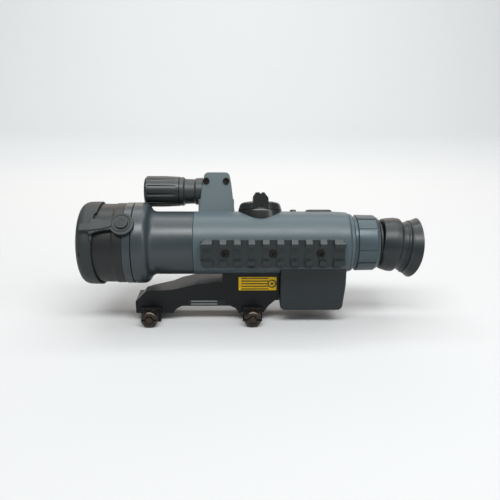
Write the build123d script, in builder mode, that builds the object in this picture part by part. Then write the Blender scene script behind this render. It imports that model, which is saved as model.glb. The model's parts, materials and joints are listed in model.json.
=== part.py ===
from build123d import *
from math import cos, radians, sin
import os

# Night-vision sight with a rail-clamp bracket underneath.
# Frame: millimetres. The origin is on the top plane of the weapon rail, half way between the two
# clamp feet. +X runs along the optical axis towards the eyepiece, -Y is the side of the
# accessory rail, +Z is up.

os.makedirs("parts", exist_ok=True)

# ---------------------------------------------------------------- driving dimensions
axis_height = 51.3          # optical axis above the weapon rail
tube_r = 23.2               # main tube, outside
tube_bore = 19.5            # main tube, inside
joint_gap = 0.06            # radial running clearance of every turning or sliding fit
soft_gap = 0.3              # clearance around rubber pieces that move

barrel_front = -83.2        # front edge of the objective barrel
barrel_r = 29.0             # rubber sleeve on the barrel
barrel_metal_r = 27.6
nose_r = 28.4               # bare nose that the cap covers
nose_end = -75.4
flange_start = -54.0        # flange ring at the back of the barrel
flange_r = 29.7
bell_start = -47.9          # front edge of the fixed bell
bell_r = 29.8
bell_shoulder = -42.0
bell_end = -32.0
front_seam = -5.0           # front housing meets main housing
rear_seam = 108.3           # main housing meets the eyepiece collar
collar_end = 111.2
diopter_start, diopter_end = 111.5, 129.4
diopter_r = 20.7
eyecup_start = 130.4
eyecup_droop = 8.5          # the eyecup points down behind its neck
eyecup_rim = 25.8           # middle of the rim, along the drooping axis
eyecup_rim_r = 22.7

spigot_r = 25.44            # bell's forward spigot that the barrel turns on
spigot_front = -62.0
cell_bore = 23.5            # inside of the spigot

cap_front, cap_rear = -86.8, -74.8   # the skirt's rear edge on the two sides
cap_skirt = -71.6           # and at the top and bottom
cap_r = 30.4
cap_bore = 29.2
strap_angle = 42.0          # strap's spoke, above the horizontal on the -Y side
eyelet_x = -53.6
eyelet_r = 8.4
peg_r = 3.4

rail_pitch = 10.01          # accessory rail: standard 21.2 mm profile
rail_slot = 5.35
rail_slot_depth = 3.2
rail_face = 30.0            # face of the rail, from the optical axis
rail_half = 10.6
rail_face_half = 7.8
rail_facet = 2.8
rail_channel_half = 4.9
rail_start, rail_end = 0.8, 102.4
rail_screw_x = (17.8, 51.6, 85.2)

control_angle = 20.0        # spoke of the switch, button and lamp arm, from vertical to +Y
switch_x, switch_r = 43.4, 16.3
switch_base, switch_shoulder, switch_top = 23.7, 29.6, 35.4
switch_fin = 11.2
status_lamp_x, status_lamp_r = 68.0, 2.4
rocker_x, rocker_length, rocker_width = 87.0, 20.0, 9.0
rocker_floor, rocker_top = 21.2, 24.5
dial_x = (68.0, 88.0)       # windage and elevation dials on the far side
dial_r, dial_base, dial_height = 7.0, 23.5, 3.4
reticle_x = 76.5
reticle_travel = 0.25

lamp_rise = 39.9            # illuminator axis along the control spoke
lamp_back = 12.0            # and behind the arm's front face
lamp_head_r, lamp_head_start, lamp_head_end = 11.7, -43.4, -17.5
arm_thickness = 3.0
arm_top = 52.6
arm_screw_rise = 46.1
arm_screw_x = (3.3, 18.2)

box_left, box_right = 58.0, 104.0       # electronics and battery box
box_near, box_far = -18.0, 13.0
box_floor = -47.2                       # below the optical axis
box_wall = 2.2

clamp_x = 37.8              # clamp feet stand at plus and minus this
bolt_r = 2.5
bolt_z = -0.3
bracket_near, bracket_far = -12.0, 12.0
hook_far = 15.0
hook_bottom = -6.3
nut_face = -25.0
nut_r = 6.1
bracket_screw_spots = ((20, -6), (20, 6), (50, -6), (50, 6))
lens_seat = 0.35            # room for a lens's bulge next to its retaining ring


# ---------------------------------------------------------------- planes and shared shapes
OPTICAL = Axis((0, 0, axis_height), (1, 0, 0))
LENGTHWISE = Plane(origin=(0, 0, axis_height), x_dir=(1, 0, 0), z_dir=(0, -1, 0))
SIDE = Plane(origin=(0, 0, 0), x_dir=(1, 0, 0), z_dir=(0, -1, 0))
SIDE_FAR = Plane(origin=(0, 0, axis_height), x_dir=(-1, 0, 0), z_dir=(0, 1, 0))


def across(x, z=axis_height, y=0.0):
    """Plane square to the optical axis at station x, with local x along +Y and local y up."""
    return Plane(origin=(x, y, z), x_dir=(0, 1, 0), z_dir=(1, 0, 0))


def spoke(x, angle, reach):
    """Plane square to a spoke that leans by angle from vertical towards +Y."""
    s, c = sin(radians(angle)), cos(radians(angle))
    return Plane(origin=(x, reach * s, axis_height + reach * c), x_dir=(1, 0, 0), z_dir=(0, s, c))


def spoke_side(angle, towards_rail=0.0):
    """Plane that holds the optical axis and a spoke, moved towards the accessory rail's side."""
    s, c = sin(radians(angle)), cos(radians(angle))
    origin = (0, -towards_rail * c, axis_height + towards_rail * s)
    return Plane(origin=origin, x_dir=(1, 0, 0), z_dir=(0, -c, s))


def save(piece, name):
    """Label a finished sub-part and write its STEP file."""
    piece.part.label = name
    export_step(piece.part, f"parts/{name}.step")


def turned(*profile):
    """Piece turned about the optical axis from its half profile of (station, radius)."""
    with BuildPart() as piece:
        with BuildSketch(LENGTHWISE):
            with BuildLine():
                Polyline(*profile, close=True)
            make_face()
        revolve(axis=OPTICAL)
    return piece


def ring(start, end, inner, outer):
    """Plain ring about the optical axis."""
    return turned((start, inner), (end, inner), (end, outer), (start, outer))


def lens(start, end, radius, front_bulge, rear_bulge):
    """Lens whose rim runs from start to end; each face bulges outwards by its sagitta."""
    with BuildPart() as piece:
        with BuildSketch(LENGTHWISE):
            with BuildLine():
                Line((start - front_bulge, 0), (end + rear_bulge, 0))
                if rear_bulge:
                    RadiusArc((end + rear_bulge, 0), (end, radius), -face_radius(radius, rear_bulge))
                else:
                    Line((end, 0), (end, radius))
                Line((end, radius), (start, radius))
                if front_bulge:
                    RadiusArc((start, radius), (start - front_bulge, 0),
                              -face_radius(radius, front_bulge))
                else:
                    Line((start, radius), (start, 0))
            make_face()
        revolve(axis=OPTICAL)
    return piece


def face_radius(radius, sagitta):
    """Radius of a lens face; a negative sagitta gives a hollow face."""
    size = (radius**2 + sagitta**2) / (2 * abs(sagitta))
    return size if sagitta > 0 else -size


# ---------------------------------------------------------------- objective barrel (turns to focus)
focus_ring = turned(
    (barrel_front, nose_r - 2.6), (barrel_front, nose_r - 0.8), (barrel_front + 0.8, nose_r),
    (nose_end, nose_r), (nose_end, barrel_metal_r), (flange_start, barrel_metal_r),
    (flange_start, flange_r - 0.5), (flange_start + 0.6, flange_r), (bell_start - 0.5, flange_r),
    (bell_start - 0.2, flange_r - 0.4), (bell_start - 0.2, spigot_r + joint_gap),
    (barrel_front + 2.2, spigot_r + joint_gap), (barrel_front + 2.2, nose_r - 2.6))
save(focus_ring, "focus_ring")

barrel_sleeve = turned(
    (nose_end, barrel_metal_r), (flange_start, barrel_metal_r), (flange_start, barrel_r + 0.3),
    (flange_start - 6, barrel_r + 0.3), (flange_start - 7, barrel_r - 0.2), (nose_end + 0.4, barrel_r - 0.2),
    (nose_end, barrel_r - 0.5))
save(barrel_sleeve, "barrel_sleeve")

# The strap is one moulding with the cap. It is cut at its bending line: this half stays on the
# barrel with its eyelet around the peg, the other half belongs to the cap.
strap_plane = Plane(
    origin=(0, 0, axis_height), x_dir=(1, 0, 0),
    z_dir=(0, -cos(radians(strap_angle)), sin(radians(strap_angle))))
strap_inside = flange_r + soft_gap
strap_outside = strap_inside + 2.0
strap_rib = 0.9
strap_front = cap_rear + 1.3
with BuildPart() as cap_strap:
    with BuildSketch(strap_plane.offset(strap_inside)):
        with Locations((eyelet_x, 0)):
            Circle(eyelet_r)
        with BuildLine():
            Polyline((strap_front, 3.6), (-62.6, 2.9), (eyelet_x, 5.6), (eyelet_x, -7.0),
                     (-61, -4.6), (-70, -6.2), (strap_front, -8.4), close=True)
        make_face()
        with Locations((eyelet_x, 0)):
            Circle(peg_r + 0.1, mode=Mode.SUBTRACT)
    extrude(amount=strap_outside - strap_inside)
    with BuildSketch(strap_plane.offset(strap_outside)):
        with BuildLine():
            Polyline((strap_front, 0.2), (-62.8, 2.4), (-61.4, -0.6), (-62.8, -3.4),
                     (strap_front, -5.7), close=True)
        make_face()
    extrude(amount=strap_rib)
save(cap_strap, "cap_strap")

with BuildPart() as cap_peg:
    with BuildSketch(strap_plane.offset(barrel_metal_r)):
        with Locations((eyelet_x, 0)):
            Circle(peg_r - 0.6)
    extrude(amount=strap_outside + 0.6 - barrel_metal_r)
    with BuildSketch(strap_plane.offset(strap_inside)):
        with Locations((eyelet_x, 0)):
            Circle(peg_r)
    extrude(amount=strap_outside + 0.4 - strap_inside)
    with BuildSketch(strap_plane.offset(strap_outside + 0.3)):
        with Locations((eyelet_x, 0)):
            Circle(peg_r + 1.1)
    extrude(amount=1.3)
    fillet(cap_peg.edges().filter_by(GeomType.CIRCLE).sort_by(SortBy.RADIUS)[-1], 0.5)
save(cap_peg, "cap_peg")

# ---------------------------------------------------------------- objective cap
with BuildPart() as objective_cap:
    with BuildSketch(LENGTHWISE):
        with BuildLine():
            Polyline((cap_front, 0), (cap_front, 22.0), (cap_front + 0.4, 25.4), (cap_front + 1.6, 27.8),
                     (cap_front + 3.4, 29.4), (cap_front + 6, cap_r - 0.2), (cap_skirt, cap_r),
                     (cap_skirt, cap_bore), (cap_front + 3.2, cap_bore), (cap_front + 3.2, 0), close=True)
        make_face()
    revolve(axis=OPTICAL)
    with BuildSketch(Plane.XY.offset(axis_height)):
        with BuildLine():
            ThreePointArc((cap_rear, -cap_r), (cap_skirt, 0), (cap_rear, cap_r))
            Polyline((cap_rear, cap_r), (cap_rear, 2 * cap_r), (cap_skirt + 4, 2 * cap_r),
                     (cap_skirt + 4, -2 * cap_r), (cap_rear, -2 * cap_r), (cap_rear, -cap_r))
        make_face()
    extrude(amount=2 * cap_r, both=True, mode=Mode.SUBTRACT)
    # the skirt ends at the bending line where the strap runs over it
    with BuildSketch(strap_plane.offset(cap_bore - 4)):
        with Locations((cap_rear + 0.9 + 4, -2.4)):
            Rectangle(8, 20)
    extrude(amount=8, mode=Mode.SUBTRACT)
    with BuildSketch(strap_plane.offset(cap_r - 0.8)):
        with BuildLine():
            Polyline((cap_front + 4.4, -0.9), (cap_rear - 1.6, -0.2), (cap_rear - 0.8, 3.6),
                     (cap_rear + 0.9, 3.6), (cap_rear + 0.9, -8.4), (cap_rear - 0.8, -8.4),
                     (cap_rear - 1.6, -6.0), (cap_front + 4.4, -6.2), close=True)
        make_face()
    extrude(amount=strap_outside + strap_rib - cap_r + 0.8)
save(objective_cap, "objective_cap")

# ---------------------------------------------------------------- moving objective cell and glass
cell_front = barrel_front + 4.0
cell_step = spigot_front - 2.2
cell_back = -50.0
front_lens_r = 22.6
with BuildPart() as lens_cell:
    with BuildSketch(LENGTHWISE):
        with BuildLine():
            Polyline((cell_front, front_lens_r), (cell_front, spigot_r), (cell_step, spigot_r),
                     (cell_step, cell_bore - joint_gap), (cell_back, cell_bore - joint_gap),
                     (cell_back, 19.0), (-58, 19.0), (-58, 21.2), (-68.5, 21.2), (-68.5, 19.6),
                     (-70.5, 19.6), (-70.5, front_lens_r), close=True)
        make_face()
    revolve(axis=OPTICAL)
save(lens_cell, "lens_cell")
save(lens(-77, -70.5, front_lens_r, 2.2, -0.8), "objective_front_lens")
save(lens(-66, -60, 21.2, 1.6, 1.0), "objective_middle_lens")
save(ring(-79, -77 - lens_seat, front_lens_r - 1.6, front_lens_r), "lens_retaining_ring")
save(ring(-60 + lens_seat, -58, 19.4, 21.2), "lens_spacer")

# ---------------------------------------------------------------- front housing with its bell
bell_middle = ((bell_shoulder + bell_end) / 2, (bell_r + tube_r) / 2)
with BuildPart() as front_housing:
    with BuildSketch(LENGTHWISE):
        with BuildLine():
            start = Polyline((spigot_front, cell_bore), (spigot_front, spigot_r),
                             (bell_start, spigot_r), (bell_start, bell_r - 0.6),
                             (bell_start + 0.6, bell_r), (bell_shoulder, bell_r))
            crest = TangentArc((bell_shoulder, bell_r), bell_middle, tangent=(1, 0))
            root = TangentArc(bell_middle, (bell_end, tube_r), tangent=crest % 1)
            Polyline((bell_end, tube_r), (front_seam - 0.3, tube_r), (front_seam, tube_r - 0.3),
                     (front_seam, tube_bore), (-42, tube_bore), (-45, cell_bore),
                     (spigot_front, cell_bore))
        make_face()
    revolve(axis=OPTICAL)
save(front_housing, "front_housing")
save(lens(-24, -17, tube_bore, 2.0, 1.2), "objective_rear_lens")
save(ring(-17 + lens_seat, -14, tube_bore - 2.5, tube_bore), "rear_lens_retainer")

# ---------------------------------------------------------------- main housing
box_middle_x = (box_left + box_right) / 2
bay_left, bay_right = box_left + box_wall, box_right - box_wall
bay_floor, bay_ceiling = box_floor + box_wall, -22.4
door_plate = 2.0
hinge_y, hinge_z = box_far + 1.0, box_floor + 0.6
hinge_outer_r, hinge_pin_r = 1.7, 0.8
pad_reach = 23.4
with BuildPart() as main_housing:
    with BuildSketch(LENGTHWISE):
        with BuildLine():
            Polyline((front_seam, 0), (front_seam, tube_r - 0.3), (front_seam + 0.3, tube_r),
                     (rear_seam - 12, tube_r), (rear_seam - 1.4, tube_r - 0.7), (rear_seam, tube_r - 2),
                     (rear_seam, 0), close=True)
        make_face()
    revolve(axis=OPTICAL)
    with BuildSketch(LENGTHWISE.offset(-box_far)):
        with BuildLine():
            outline = Polyline((box_left, -12), (box_left, box_floor), (box_right, box_floor),
                               (box_right + 2.0, -27), (box_right + 2.0, -12), close=True)
        make_face()
        fillet(outline.vertices().group_by(Axis.Y)[0].sort_by(Axis.X), 4)
    extrude(amount=box_far - box_near)
    fillet(main_housing.faces().sort_by(Axis.Y)[0].edges().sort_by(Axis.Z)[:-1], 1.2)
    with BuildSketch(spoke(switch_x, control_angle, 10)):
        Circle(switch_r - 0.6)
    extrude(amount=pad_reach - 10)
    with BuildSketch(SIDE_FAR.offset(10)):
        with Locations(*[(-x, 0) for x in dial_x]):
            Circle(dial_r + 1)
    extrude(amount=dial_base - 0.2 - 10)
    # inside of the tube and the battery bay
    with BuildSketch(across(front_seam)):
        Circle(tube_bore)
    extrude(amount=rear_seam - front_seam - 4, mode=Mode.SUBTRACT)
    with BuildSketch(across(rear_seam - 5)):
        Circle(17.6)
    extrude(amount=6, mode=Mode.SUBTRACT)
    with BuildSketch(LENGTHWISE.offset(-box_far)):
        with Locations((box_middle_x, (bay_floor + bay_ceiling) / 2)):
            RectangleRounded(bay_right - bay_left, bay_ceiling - bay_floor, 2)
    extrude(amount=box_far - box_near - box_wall, mode=Mode.SUBTRACT)
    # door recess and hinge relief
    with BuildSketch(LENGTHWISE.offset(-box_far)):
        with Locations((box_middle_x, (bay_floor + bay_ceiling) / 2 + 0.4)):
            Rectangle(bay_right - bay_left + 1.6, bay_ceiling - bay_floor + 1.6)
    extrude(amount=door_plate + 0.2, mode=Mode.SUBTRACT)
    with BuildSketch(across(bay_left, axis_height + hinge_z, hinge_y)):
        Circle(hinge_outer_r + 0.4)
    extrude(amount=bay_right - bay_left, mode=Mode.SUBTRACT)
    # bores for the switch, status lamp and dials, and the rocker's pocket
    with BuildSketch(spoke(switch_x, control_angle, pad_reach)):
        Circle(2.5 + joint_gap)
    extrude(amount=-6, mode=Mode.SUBTRACT)
    with BuildSketch(spoke(status_lamp_x, control_angle, tube_r + 1)):
        Circle(status_lamp_r)
    extrude(amount=-6, mode=Mode.SUBTRACT)
    with BuildSketch(spoke(rocker_x, control_angle, rocker_floor - 0.6)):
        SlotOverall(rocker_length + 0.8, rocker_width + 0.8)
    extrude(amount=6, mode=Mode.SUBTRACT)
    with BuildSketch(SIDE_FAR.offset(dial_base)):
        with Locations(*[(-x, 0) for x in dial_x]):
            Circle(2.5 + joint_gap)
    extrude(amount=-6, mode=Mode.SUBTRACT)
save(main_housing, "main_housing")

save(ring(front_seam - 0.6, front_seam, tube_bore - 1.2, tube_bore), "housing_seal")

with BuildPart() as eyepiece_collar:
    with BuildSketch(LENGTHWISE):
        with BuildLine():
            Polyline((rear_seam, 15.5), (rear_seam, 21.2), (rear_seam + 0.3, 21.5),
                     (collar_end - 0.8, 21.0), (collar_end, 20.2), (collar_end, 17.4),
                     (diopter_end - 1.2, 17.4), (diopter_end - 1.2, 15.5), close=True)
        make_face()
    revolve(axis=OPTICAL)
save(eyepiece_collar, "eyepiece_collar")

# ---------------------------------------------------------------- image intensifier and electronics
with BuildPart() as intensifier_tube:
    with BuildSketch(LENGTHWISE):
        with BuildLine():
            Polyline((12, 13.5), (12, 19.0), (14, tube_bore), (18, tube_bore), (19, 18.4), (55, 18.4),
                     (56, tube_bore), (60, tube_bore), (60, 13.5), close=True)
        make_face()
    revolve(axis=OPTICAL)
save(intensifier_tube, "intensifier_tube")
save(ring(8, 12, 14, tube_bore), "intensifier_clamp_ring")
save(lens(13, 18, 13.5, 0, -0.6), "photocathode_window")
save(lens(54, 59, 13.5, -0.6, 0), "phosphor_screen")
save(lens(62, 68, tube_bore, 0, 2.0), "relay_lens")

board_y = box_near + box_wall
with BuildPart() as circuit_board:
    with BuildSketch(LENGTHWISE.offset(-board_y - 2.2)):
        with Locations((box_middle_x, -32.8)):
            Rectangle(37, 18)
    extrude(amount=1.6)
    with BuildSketch(LENGTHWISE.offset(-board_y - 2.2)):
        with Locations((box_middle_x - 11, -30)):
            Rectangle(9, 8)
        with Locations((box_middle_x + 4, -36)):
            Rectangle(12, 6)
        with Locations((box_middle_x + 13, -28)):
            Circle(2.6)
    extrude(amount=-1.4)
save(circuit_board, "circuit_board")

battery_r, battery_length = 8.2, 33.5
battery_y, battery_z = 2.4, -33.2
battery_start = bay_left + 2.6
with BuildPart() as battery:
    with BuildSketch(across(battery_start, axis_height + battery_z, battery_y)):
        Circle(battery_r)
    extrude(amount=battery_length)
    fillet(battery.edges(), 0.8)
    with BuildSketch(across(battery_start + battery_length, axis_height + battery_z, battery_y)):
        Circle(3)
    extrude(amount=1)
save(battery, "battery")

with BuildPart() as battery_contacts:
    with BuildSketch(across(bay_left, axis_height + battery_z, battery_y)):
        Rectangle(12, 12)
    extrude(amount=0.5)
    with BuildSketch(across(bay_left + 0.5, axis_height + battery_z, battery_y)):
        Circle(3.5)
        Circle(2.3, mode=Mode.SUBTRACT)
    extrude(amount=2.1)
    with BuildSketch(across(bay_right - 0.5, axis_height + battery_z, battery_y)):
        Rectangle(10, 10)
    extrude(amount=0.5)
save(battery_contacts, "battery_contacts")

# ---------------------------------------------------------------- battery door on the far side
door_clear = 0.4
knuckle_half = 8.0
with BuildPart() as battery_door:
    with BuildSketch(LENGTHWISE.offset(-box_far)):
        with Locations((box_middle_x, (bay_floor + bay_ceiling) / 2 + 0.4)):
            Rectangle(
                bay_right - bay_left + 1.6 - 2 * door_clear,
                bay_ceiling - bay_floor + 1.6 - 2 * door_clear)
    extrude(amount=door_plate)
    with BuildSketch(across(box_middle_x - knuckle_half, axis_height + hinge_z, hinge_y)):
        Circle(hinge_outer_r)
        with BuildLine():
            Polyline((0, hinge_outer_r), (-1.3, 3.4), (-1.3, 1.0), (0, -0.4), close=True)
        make_face()
        Circle(hinge_pin_r + joint_gap, mode=Mode.SUBTRACT)
    extrude(amount=2 * knuckle_half)
    with BuildSketch(LENGTHWISE.offset(-box_far)):
        with Locations((box_middle_x, bay_ceiling - 1.4)):
            SlotOverall(14, 2)
    extrude(amount=0.8, mode=Mode.SUBTRACT)
save(battery_door, "battery_door")

with BuildPart() as door_hinge_pin:
    with BuildSketch(across(box_middle_x - 17, axis_height + hinge_z, hinge_y)):
        Circle(hinge_pin_r)
    extrude(amount=34)
save(door_hinge_pin, "door_hinge_pin")

with BuildPart() as door_hinge_lugs:
    for lug_x in (box_middle_x - 17, box_middle_x + knuckle_half + 0.4):
        with BuildSketch(across(lug_x, axis_height + hinge_z, hinge_y)):
            Circle(hinge_outer_r)
            with BuildLine():
                Polyline((0, hinge_outer_r), (-1.4, 1.0), (-1.4, -1.6), (0, -hinge_outer_r), close=True)
            make_face()
            Circle(hinge_pin_r, mode=Mode.SUBTRACT)
        extrude(amount=17 - knuckle_half - 0.4)
save(door_hinge_lugs, "door_hinge_lugs")

# ---------------------------------------------------------------- accessory rail and its screws
rail_length = rail_end - rail_start
rail_middle = (rail_start + rail_end) / 2
with BuildPart() as side_rail:
    with BuildSketch(across(rail_start)):
        with BuildLine():
            Polyline((-15, -rail_face_half), (-15, rail_face_half), (-24.4, rail_face_half),
                     (-rail_face + rail_facet, rail_half), (-rail_face, rail_face_half),
                     (-rail_face, -rail_face_half), (-rail_face + rail_facet, -rail_half),
                     (-24.4, -rail_face_half), close=True)
        make_face()
    extrude(amount=rail_length)
    with BuildSketch(across(rail_start)):
        with Locations((-rail_face, 0)):
            Rectangle(5.4, 2 * rail_channel_half)
    extrude(amount=rail_length, mode=Mode.SUBTRACT)
    with BuildSketch(LENGTHWISE.offset(rail_face)):
        with Locations((rail_middle, 0)):
            with GridLocations(rail_pitch, 0, 9, 1):
                Rectangle(rail_slot, 3 * rail_half)
    extrude(amount=-rail_slot_depth, mode=Mode.SUBTRACT)
    with BuildSketch(across(rail_start)):
        Circle(tube_r)
    extrude(amount=rail_length, mode=Mode.SUBTRACT)
    with BuildSketch(LENGTHWISE.offset(rail_face)):
        for corner_x in (rail_start, rail_end):
            for corner_z in (-rail_half, rail_half):
                with Locations(Location((corner_x, corner_z), 45)):
                    Rectangle(4, 4)
    extrude(amount=-8, mode=Mode.SUBTRACT)
    for screw_x in rail_screw_x:
        with BuildSketch(LENGTHWISE.offset(rail_face)):
            with Locations((screw_x, 0)):
                Circle(3.1)
        extrude(amount=-4.2, mode=Mode.SUBTRACT)
        with BuildSketch(LENGTHWISE.offset(rail_face)):
            with Locations((screw_x, 0)):
                Circle(1.6)
        extrude(amount=-10, mode=Mode.SUBTRACT)
save(side_rail, "side_rail")

with BuildPart() as rail_screws:
    with BuildSketch(LENGTHWISE.offset(rail_face - 4.2)):
        with Locations(*[(screw_x, 0) for screw_x in rail_screw_x]):
            Circle(3.0)
    extrude(amount=1.5)
    with BuildSketch(LENGTHWISE.offset(rail_face - 4.2)):
        with Locations(*[(screw_x, 0) for screw_x in rail_screw_x]):
            Circle(1.6)
    extrude(amount=-4.4)
    with BuildSketch(LENGTHWISE.offset(rail_face - 2.7)):
        with Locations(*[(screw_x, 0) for screw_x in rail_screw_x]):
            RegularPolygon(1.5, 6)
    extrude(amount=-1.2, mode=Mode.SUBTRACT)
save(rail_screws, "rail_screws")

# ---------------------------------------------------------------- controls on the upper far side
with BuildPart() as mode_switch:
    with BuildSketch(spoke(switch_x, control_angle, switch_base)):
        Circle(switch_r)
    extrude(amount=switch_shoulder - switch_base, taper=16)
    fillet(mode_switch.edges().filter_by(GeomType.CIRCLE).group_by(SortBy.DISTANCE)[-1], 3)
    with BuildSketch(spoke_side(control_angle, switch_r)):
        with BuildLine():
            Polyline((switch_x - switch_fin / 2, switch_base + 0.6),
                     (switch_x - switch_fin / 2, switch_top - 3),
                     (switch_x - switch_fin / 2 + 2, switch_top),
                     (switch_x + switch_fin / 2 - 3, switch_top),
                     (switch_x + switch_fin / 2, switch_top - 4),
                     (switch_x + switch_fin / 2, switch_base + 0.6), close=True)
        make_face()
    extrude(amount=-1.75 * switch_r)
    with BuildSketch(spoke(switch_x, control_angle, switch_base)):
        Circle(2.5)
    extrude(amount=-4.6)
    with BuildSketch(spoke(switch_x, control_angle, switch_top)):
        with Locations((0, -switch_r / 2)):
            Rectangle(1.2, switch_r)
    extrude(amount=-0.8, mode=Mode.SUBTRACT)
save(mode_switch, "mode_switch")

with BuildPart() as status_lamp:
    with BuildSketch(spoke(status_lamp_x, control_angle, tube_r - 3.4)):
        Circle(status_lamp_r)
    extrude(amount=4.8)
    fillet(status_lamp.edges().group_by(Axis.Z)[-1], 0.9)
save(status_lamp, "status_lamp")

with BuildPart() as brightness_rocker:
    with BuildSketch(spoke(rocker_x, control_angle, rocker_floor)):
        SlotOverall(rocker_length, rocker_width)
    extrude(amount=rocker_top - rocker_floor)
    fillet(brightness_rocker.faces().sort_by(Axis.Z)[-1].edges(), 1.6)
save(brightness_rocker, "brightness_rocker")


def reticle_dial(x):
    """Low finger dial with a knurled edge and a coin slot, on a stem that enters the housing."""
    with BuildPart() as dial:
        with BuildSketch(SIDE_FAR.offset(dial_base)):
            with Locations((-x, 0)):
                Circle(dial_r)
                with PolarLocations(dial_r, 20):
                    Circle(0.5, mode=Mode.SUBTRACT)
        extrude(amount=dial_height)
        with BuildSketch(SIDE_FAR.offset(dial_base)):
            with Locations((-x, 0)):
                Circle(2.5)
        extrude(amount=-3.2)
        with BuildSketch(SIDE_FAR.offset(dial_base + dial_height)):
            with Locations((-x, 0)):
                Circle(dial_r - 1.4)
        extrude(amount=0.8)
        with BuildSketch(SIDE_FAR.offset(dial_base + dial_height + 0.8)):
            with Locations((-x, 0)):
                SlotOverall(1.3 * dial_r, 1.6)
        extrude(amount=-1.2, mode=Mode.SUBTRACT)
    return dial


save(reticle_dial(dial_x[0]), "windage_dial")
save(reticle_dial(dial_x[1]), "elevation_dial")

# The reticle plate rides in a frame: the frame moves sideways for windage, the plate up and down
# in the frame for elevation.
plate_half = 9.5
with BuildPart() as reticle_frame:
    with BuildSketch(across(reticle_x)):
        Circle(16.0)
        Rectangle(2 * plate_half + 0.1, 2 * (plate_half + reticle_travel + 0.1), mode=Mode.SUBTRACT)
    extrude(amount=3)
save(reticle_frame, "reticle_frame")

with BuildPart() as reticle_plate:
    with BuildSketch(across(reticle_x + 0.5)):
        Rectangle(2 * plate_half, 2 * plate_half)
    extrude(amount=2)
save(reticle_plate, "reticle_plate")

# ---------------------------------------------------------------- infrared illuminator
arm_plane = spoke_side(control_angle)
lamp_plane = arm_plane.offset(-lamp_back)
LAMP = Axis(lamp_plane.from_local_coords((0, lamp_rise, 0)), (1, 0, 0))
lamp_seam = 0.5             # where the lamp's body reaches the arm
lamp_block_r = 8.6
lamp_flange_r = 10.4


def lamp_turned(*profile):
    """Piece turned about the illuminator's axis from its half profile of (station, radius)."""
    with BuildPart() as piece:
        with BuildSketch(lamp_plane):
            with BuildLine():
                Polyline(*[(x, lamp_rise + r) for x, r in profile], close=True)
            make_face()
        revolve(axis=LAMP)
    return piece


def lamp_across(x):
    """Plane square to the illuminator's axis at station x."""
    centre = LAMP.position
    return across(x, centre.Z, centre.Y)


with BuildPart() as illuminator_arm:
    with BuildSketch(arm_plane):
        with BuildLine():
            outline = Polyline((-2.6, 19), (0.6, 44), (2.2, arm_top), (20.4, arm_top), (22.0, 44),
                               (25, 19), close=True)
        make_face()
        fillet(outline.vertices().group_by(Axis.Z)[-1], 3.4)
    extrude(amount=-arm_thickness)
    with BuildSketch(arm_plane.offset(-arm_thickness)):
        with BuildLine():
            Polyline((-2.6, 10), (-2.6, lamp_rise - lamp_block_r + 1.5),
                     (24, lamp_rise - lamp_block_r + 1.5), (24, 10), close=True)
        make_face()
    extrude(amount=-1.5 * (lamp_back - arm_thickness))
    with BuildSketch(across(-3)):
        Circle(tube_r)
    extrude(amount=28, mode=Mode.SUBTRACT)
    with BuildSketch(lamp_across(-3)):
        Circle(lamp_block_r)
    extrude(amount=28, mode=Mode.SUBTRACT)
    with BuildSketch(lamp_across(-5)):
        Circle(lamp_flange_r)
    extrude(amount=5 + lamp_seam, mode=Mode.SUBTRACT)
    with BuildSketch(arm_plane):
        with Locations(*[(x, arm_screw_rise) for x in arm_screw_x]):
            Circle(1.25)
    extrude(amount=-arm_thickness, mode=Mode.SUBTRACT)
save(illuminator_arm, "illuminator_arm")

with BuildPart() as illuminator_screws:
    with BuildSketch(arm_plane):
        with Locations(*[(x, arm_screw_rise) for x in arm_screw_x]):
            Circle(2.4)
    extrude(amount=1.1)
    with BuildSketch(arm_plane):
        with Locations(*[(x, arm_screw_rise) for x in arm_screw_x]):
            Circle(1.25)
    extrude(amount=-5.5)
    with BuildSketch(arm_plane.offset(1.1)):
        with Locations(*[(x, arm_screw_rise) for x in arm_screw_x]):
            RegularPolygon(1.3, 6)
    extrude(amount=-1.0, mode=Mode.SUBTRACT)
save(illuminator_screws, "illuminator_screws")

lamp_neck_r = 6.5
illuminator_body = lamp_turned(
    (-36, 0), (-36, lamp_neck_r), (lamp_head_end + 0.4, lamp_neck_r), (lamp_head_end + 0.4, 10.9),
    (-14.2, 10.9), (-13.6, 10.3), (-13.0, 9.6), (-6, 9.3), (-4.6, 10.2), (lamp_seam - 0.4, lamp_flange_r),
    (lamp_seam, 9.8), (lamp_seam, lamp_block_r), (19.4, lamp_block_r), (20.6, lamp_block_r - 1.2),
    (20.6, 0))
with BuildPart() as illuminator_body_bored:
    add(illuminator_body.part)
    with BuildSketch(lamp_across(-36)):
        Circle(5)
    extrude(amount=14, mode=Mode.SUBTRACT)
    with BuildSketch(arm_plane):
        with Locations(*[(x, arm_screw_rise) for x in arm_screw_x]):
            Circle(1.25)
    extrude(amount=-5.5, mode=Mode.SUBTRACT)
save(illuminator_body_bored, "illuminator_body")

with BuildPart() as illuminator_emitter:
    with BuildSketch(lamp_across(-30)):
        Circle(2.8)
    extrude(amount=8)
    fillet(illuminator_emitter.edges().group_by(Axis.X)[0], 1.2)
save(illuminator_emitter, "illuminator_emitter")

head_bore = lamp_neck_r + joint_gap
head_blank = lamp_turned(
    (lamp_head_start, 8.2), (lamp_head_start, 10.2), (lamp_head_start + 1.6, lamp_head_r),
    (-30, lamp_head_r), (lamp_head_end, 11.2), (lamp_head_end, head_bore), (-36.5, head_bore),
    (-36.5, 8.2))
with BuildPart() as illuminator_head:
    add(head_blank.part)
    with BuildSketch(lamp_across(lamp_head_start + 2.4)):
        with PolarLocations(lamp_head_r + 0.5, 12):
            RectangleRounded(2.2, 2.4, 0.7)
    extrude(amount=lamp_head_end - lamp_head_start - 4.6, mode=Mode.SUBTRACT)
save(illuminator_head, "illuminator_head")

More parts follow.
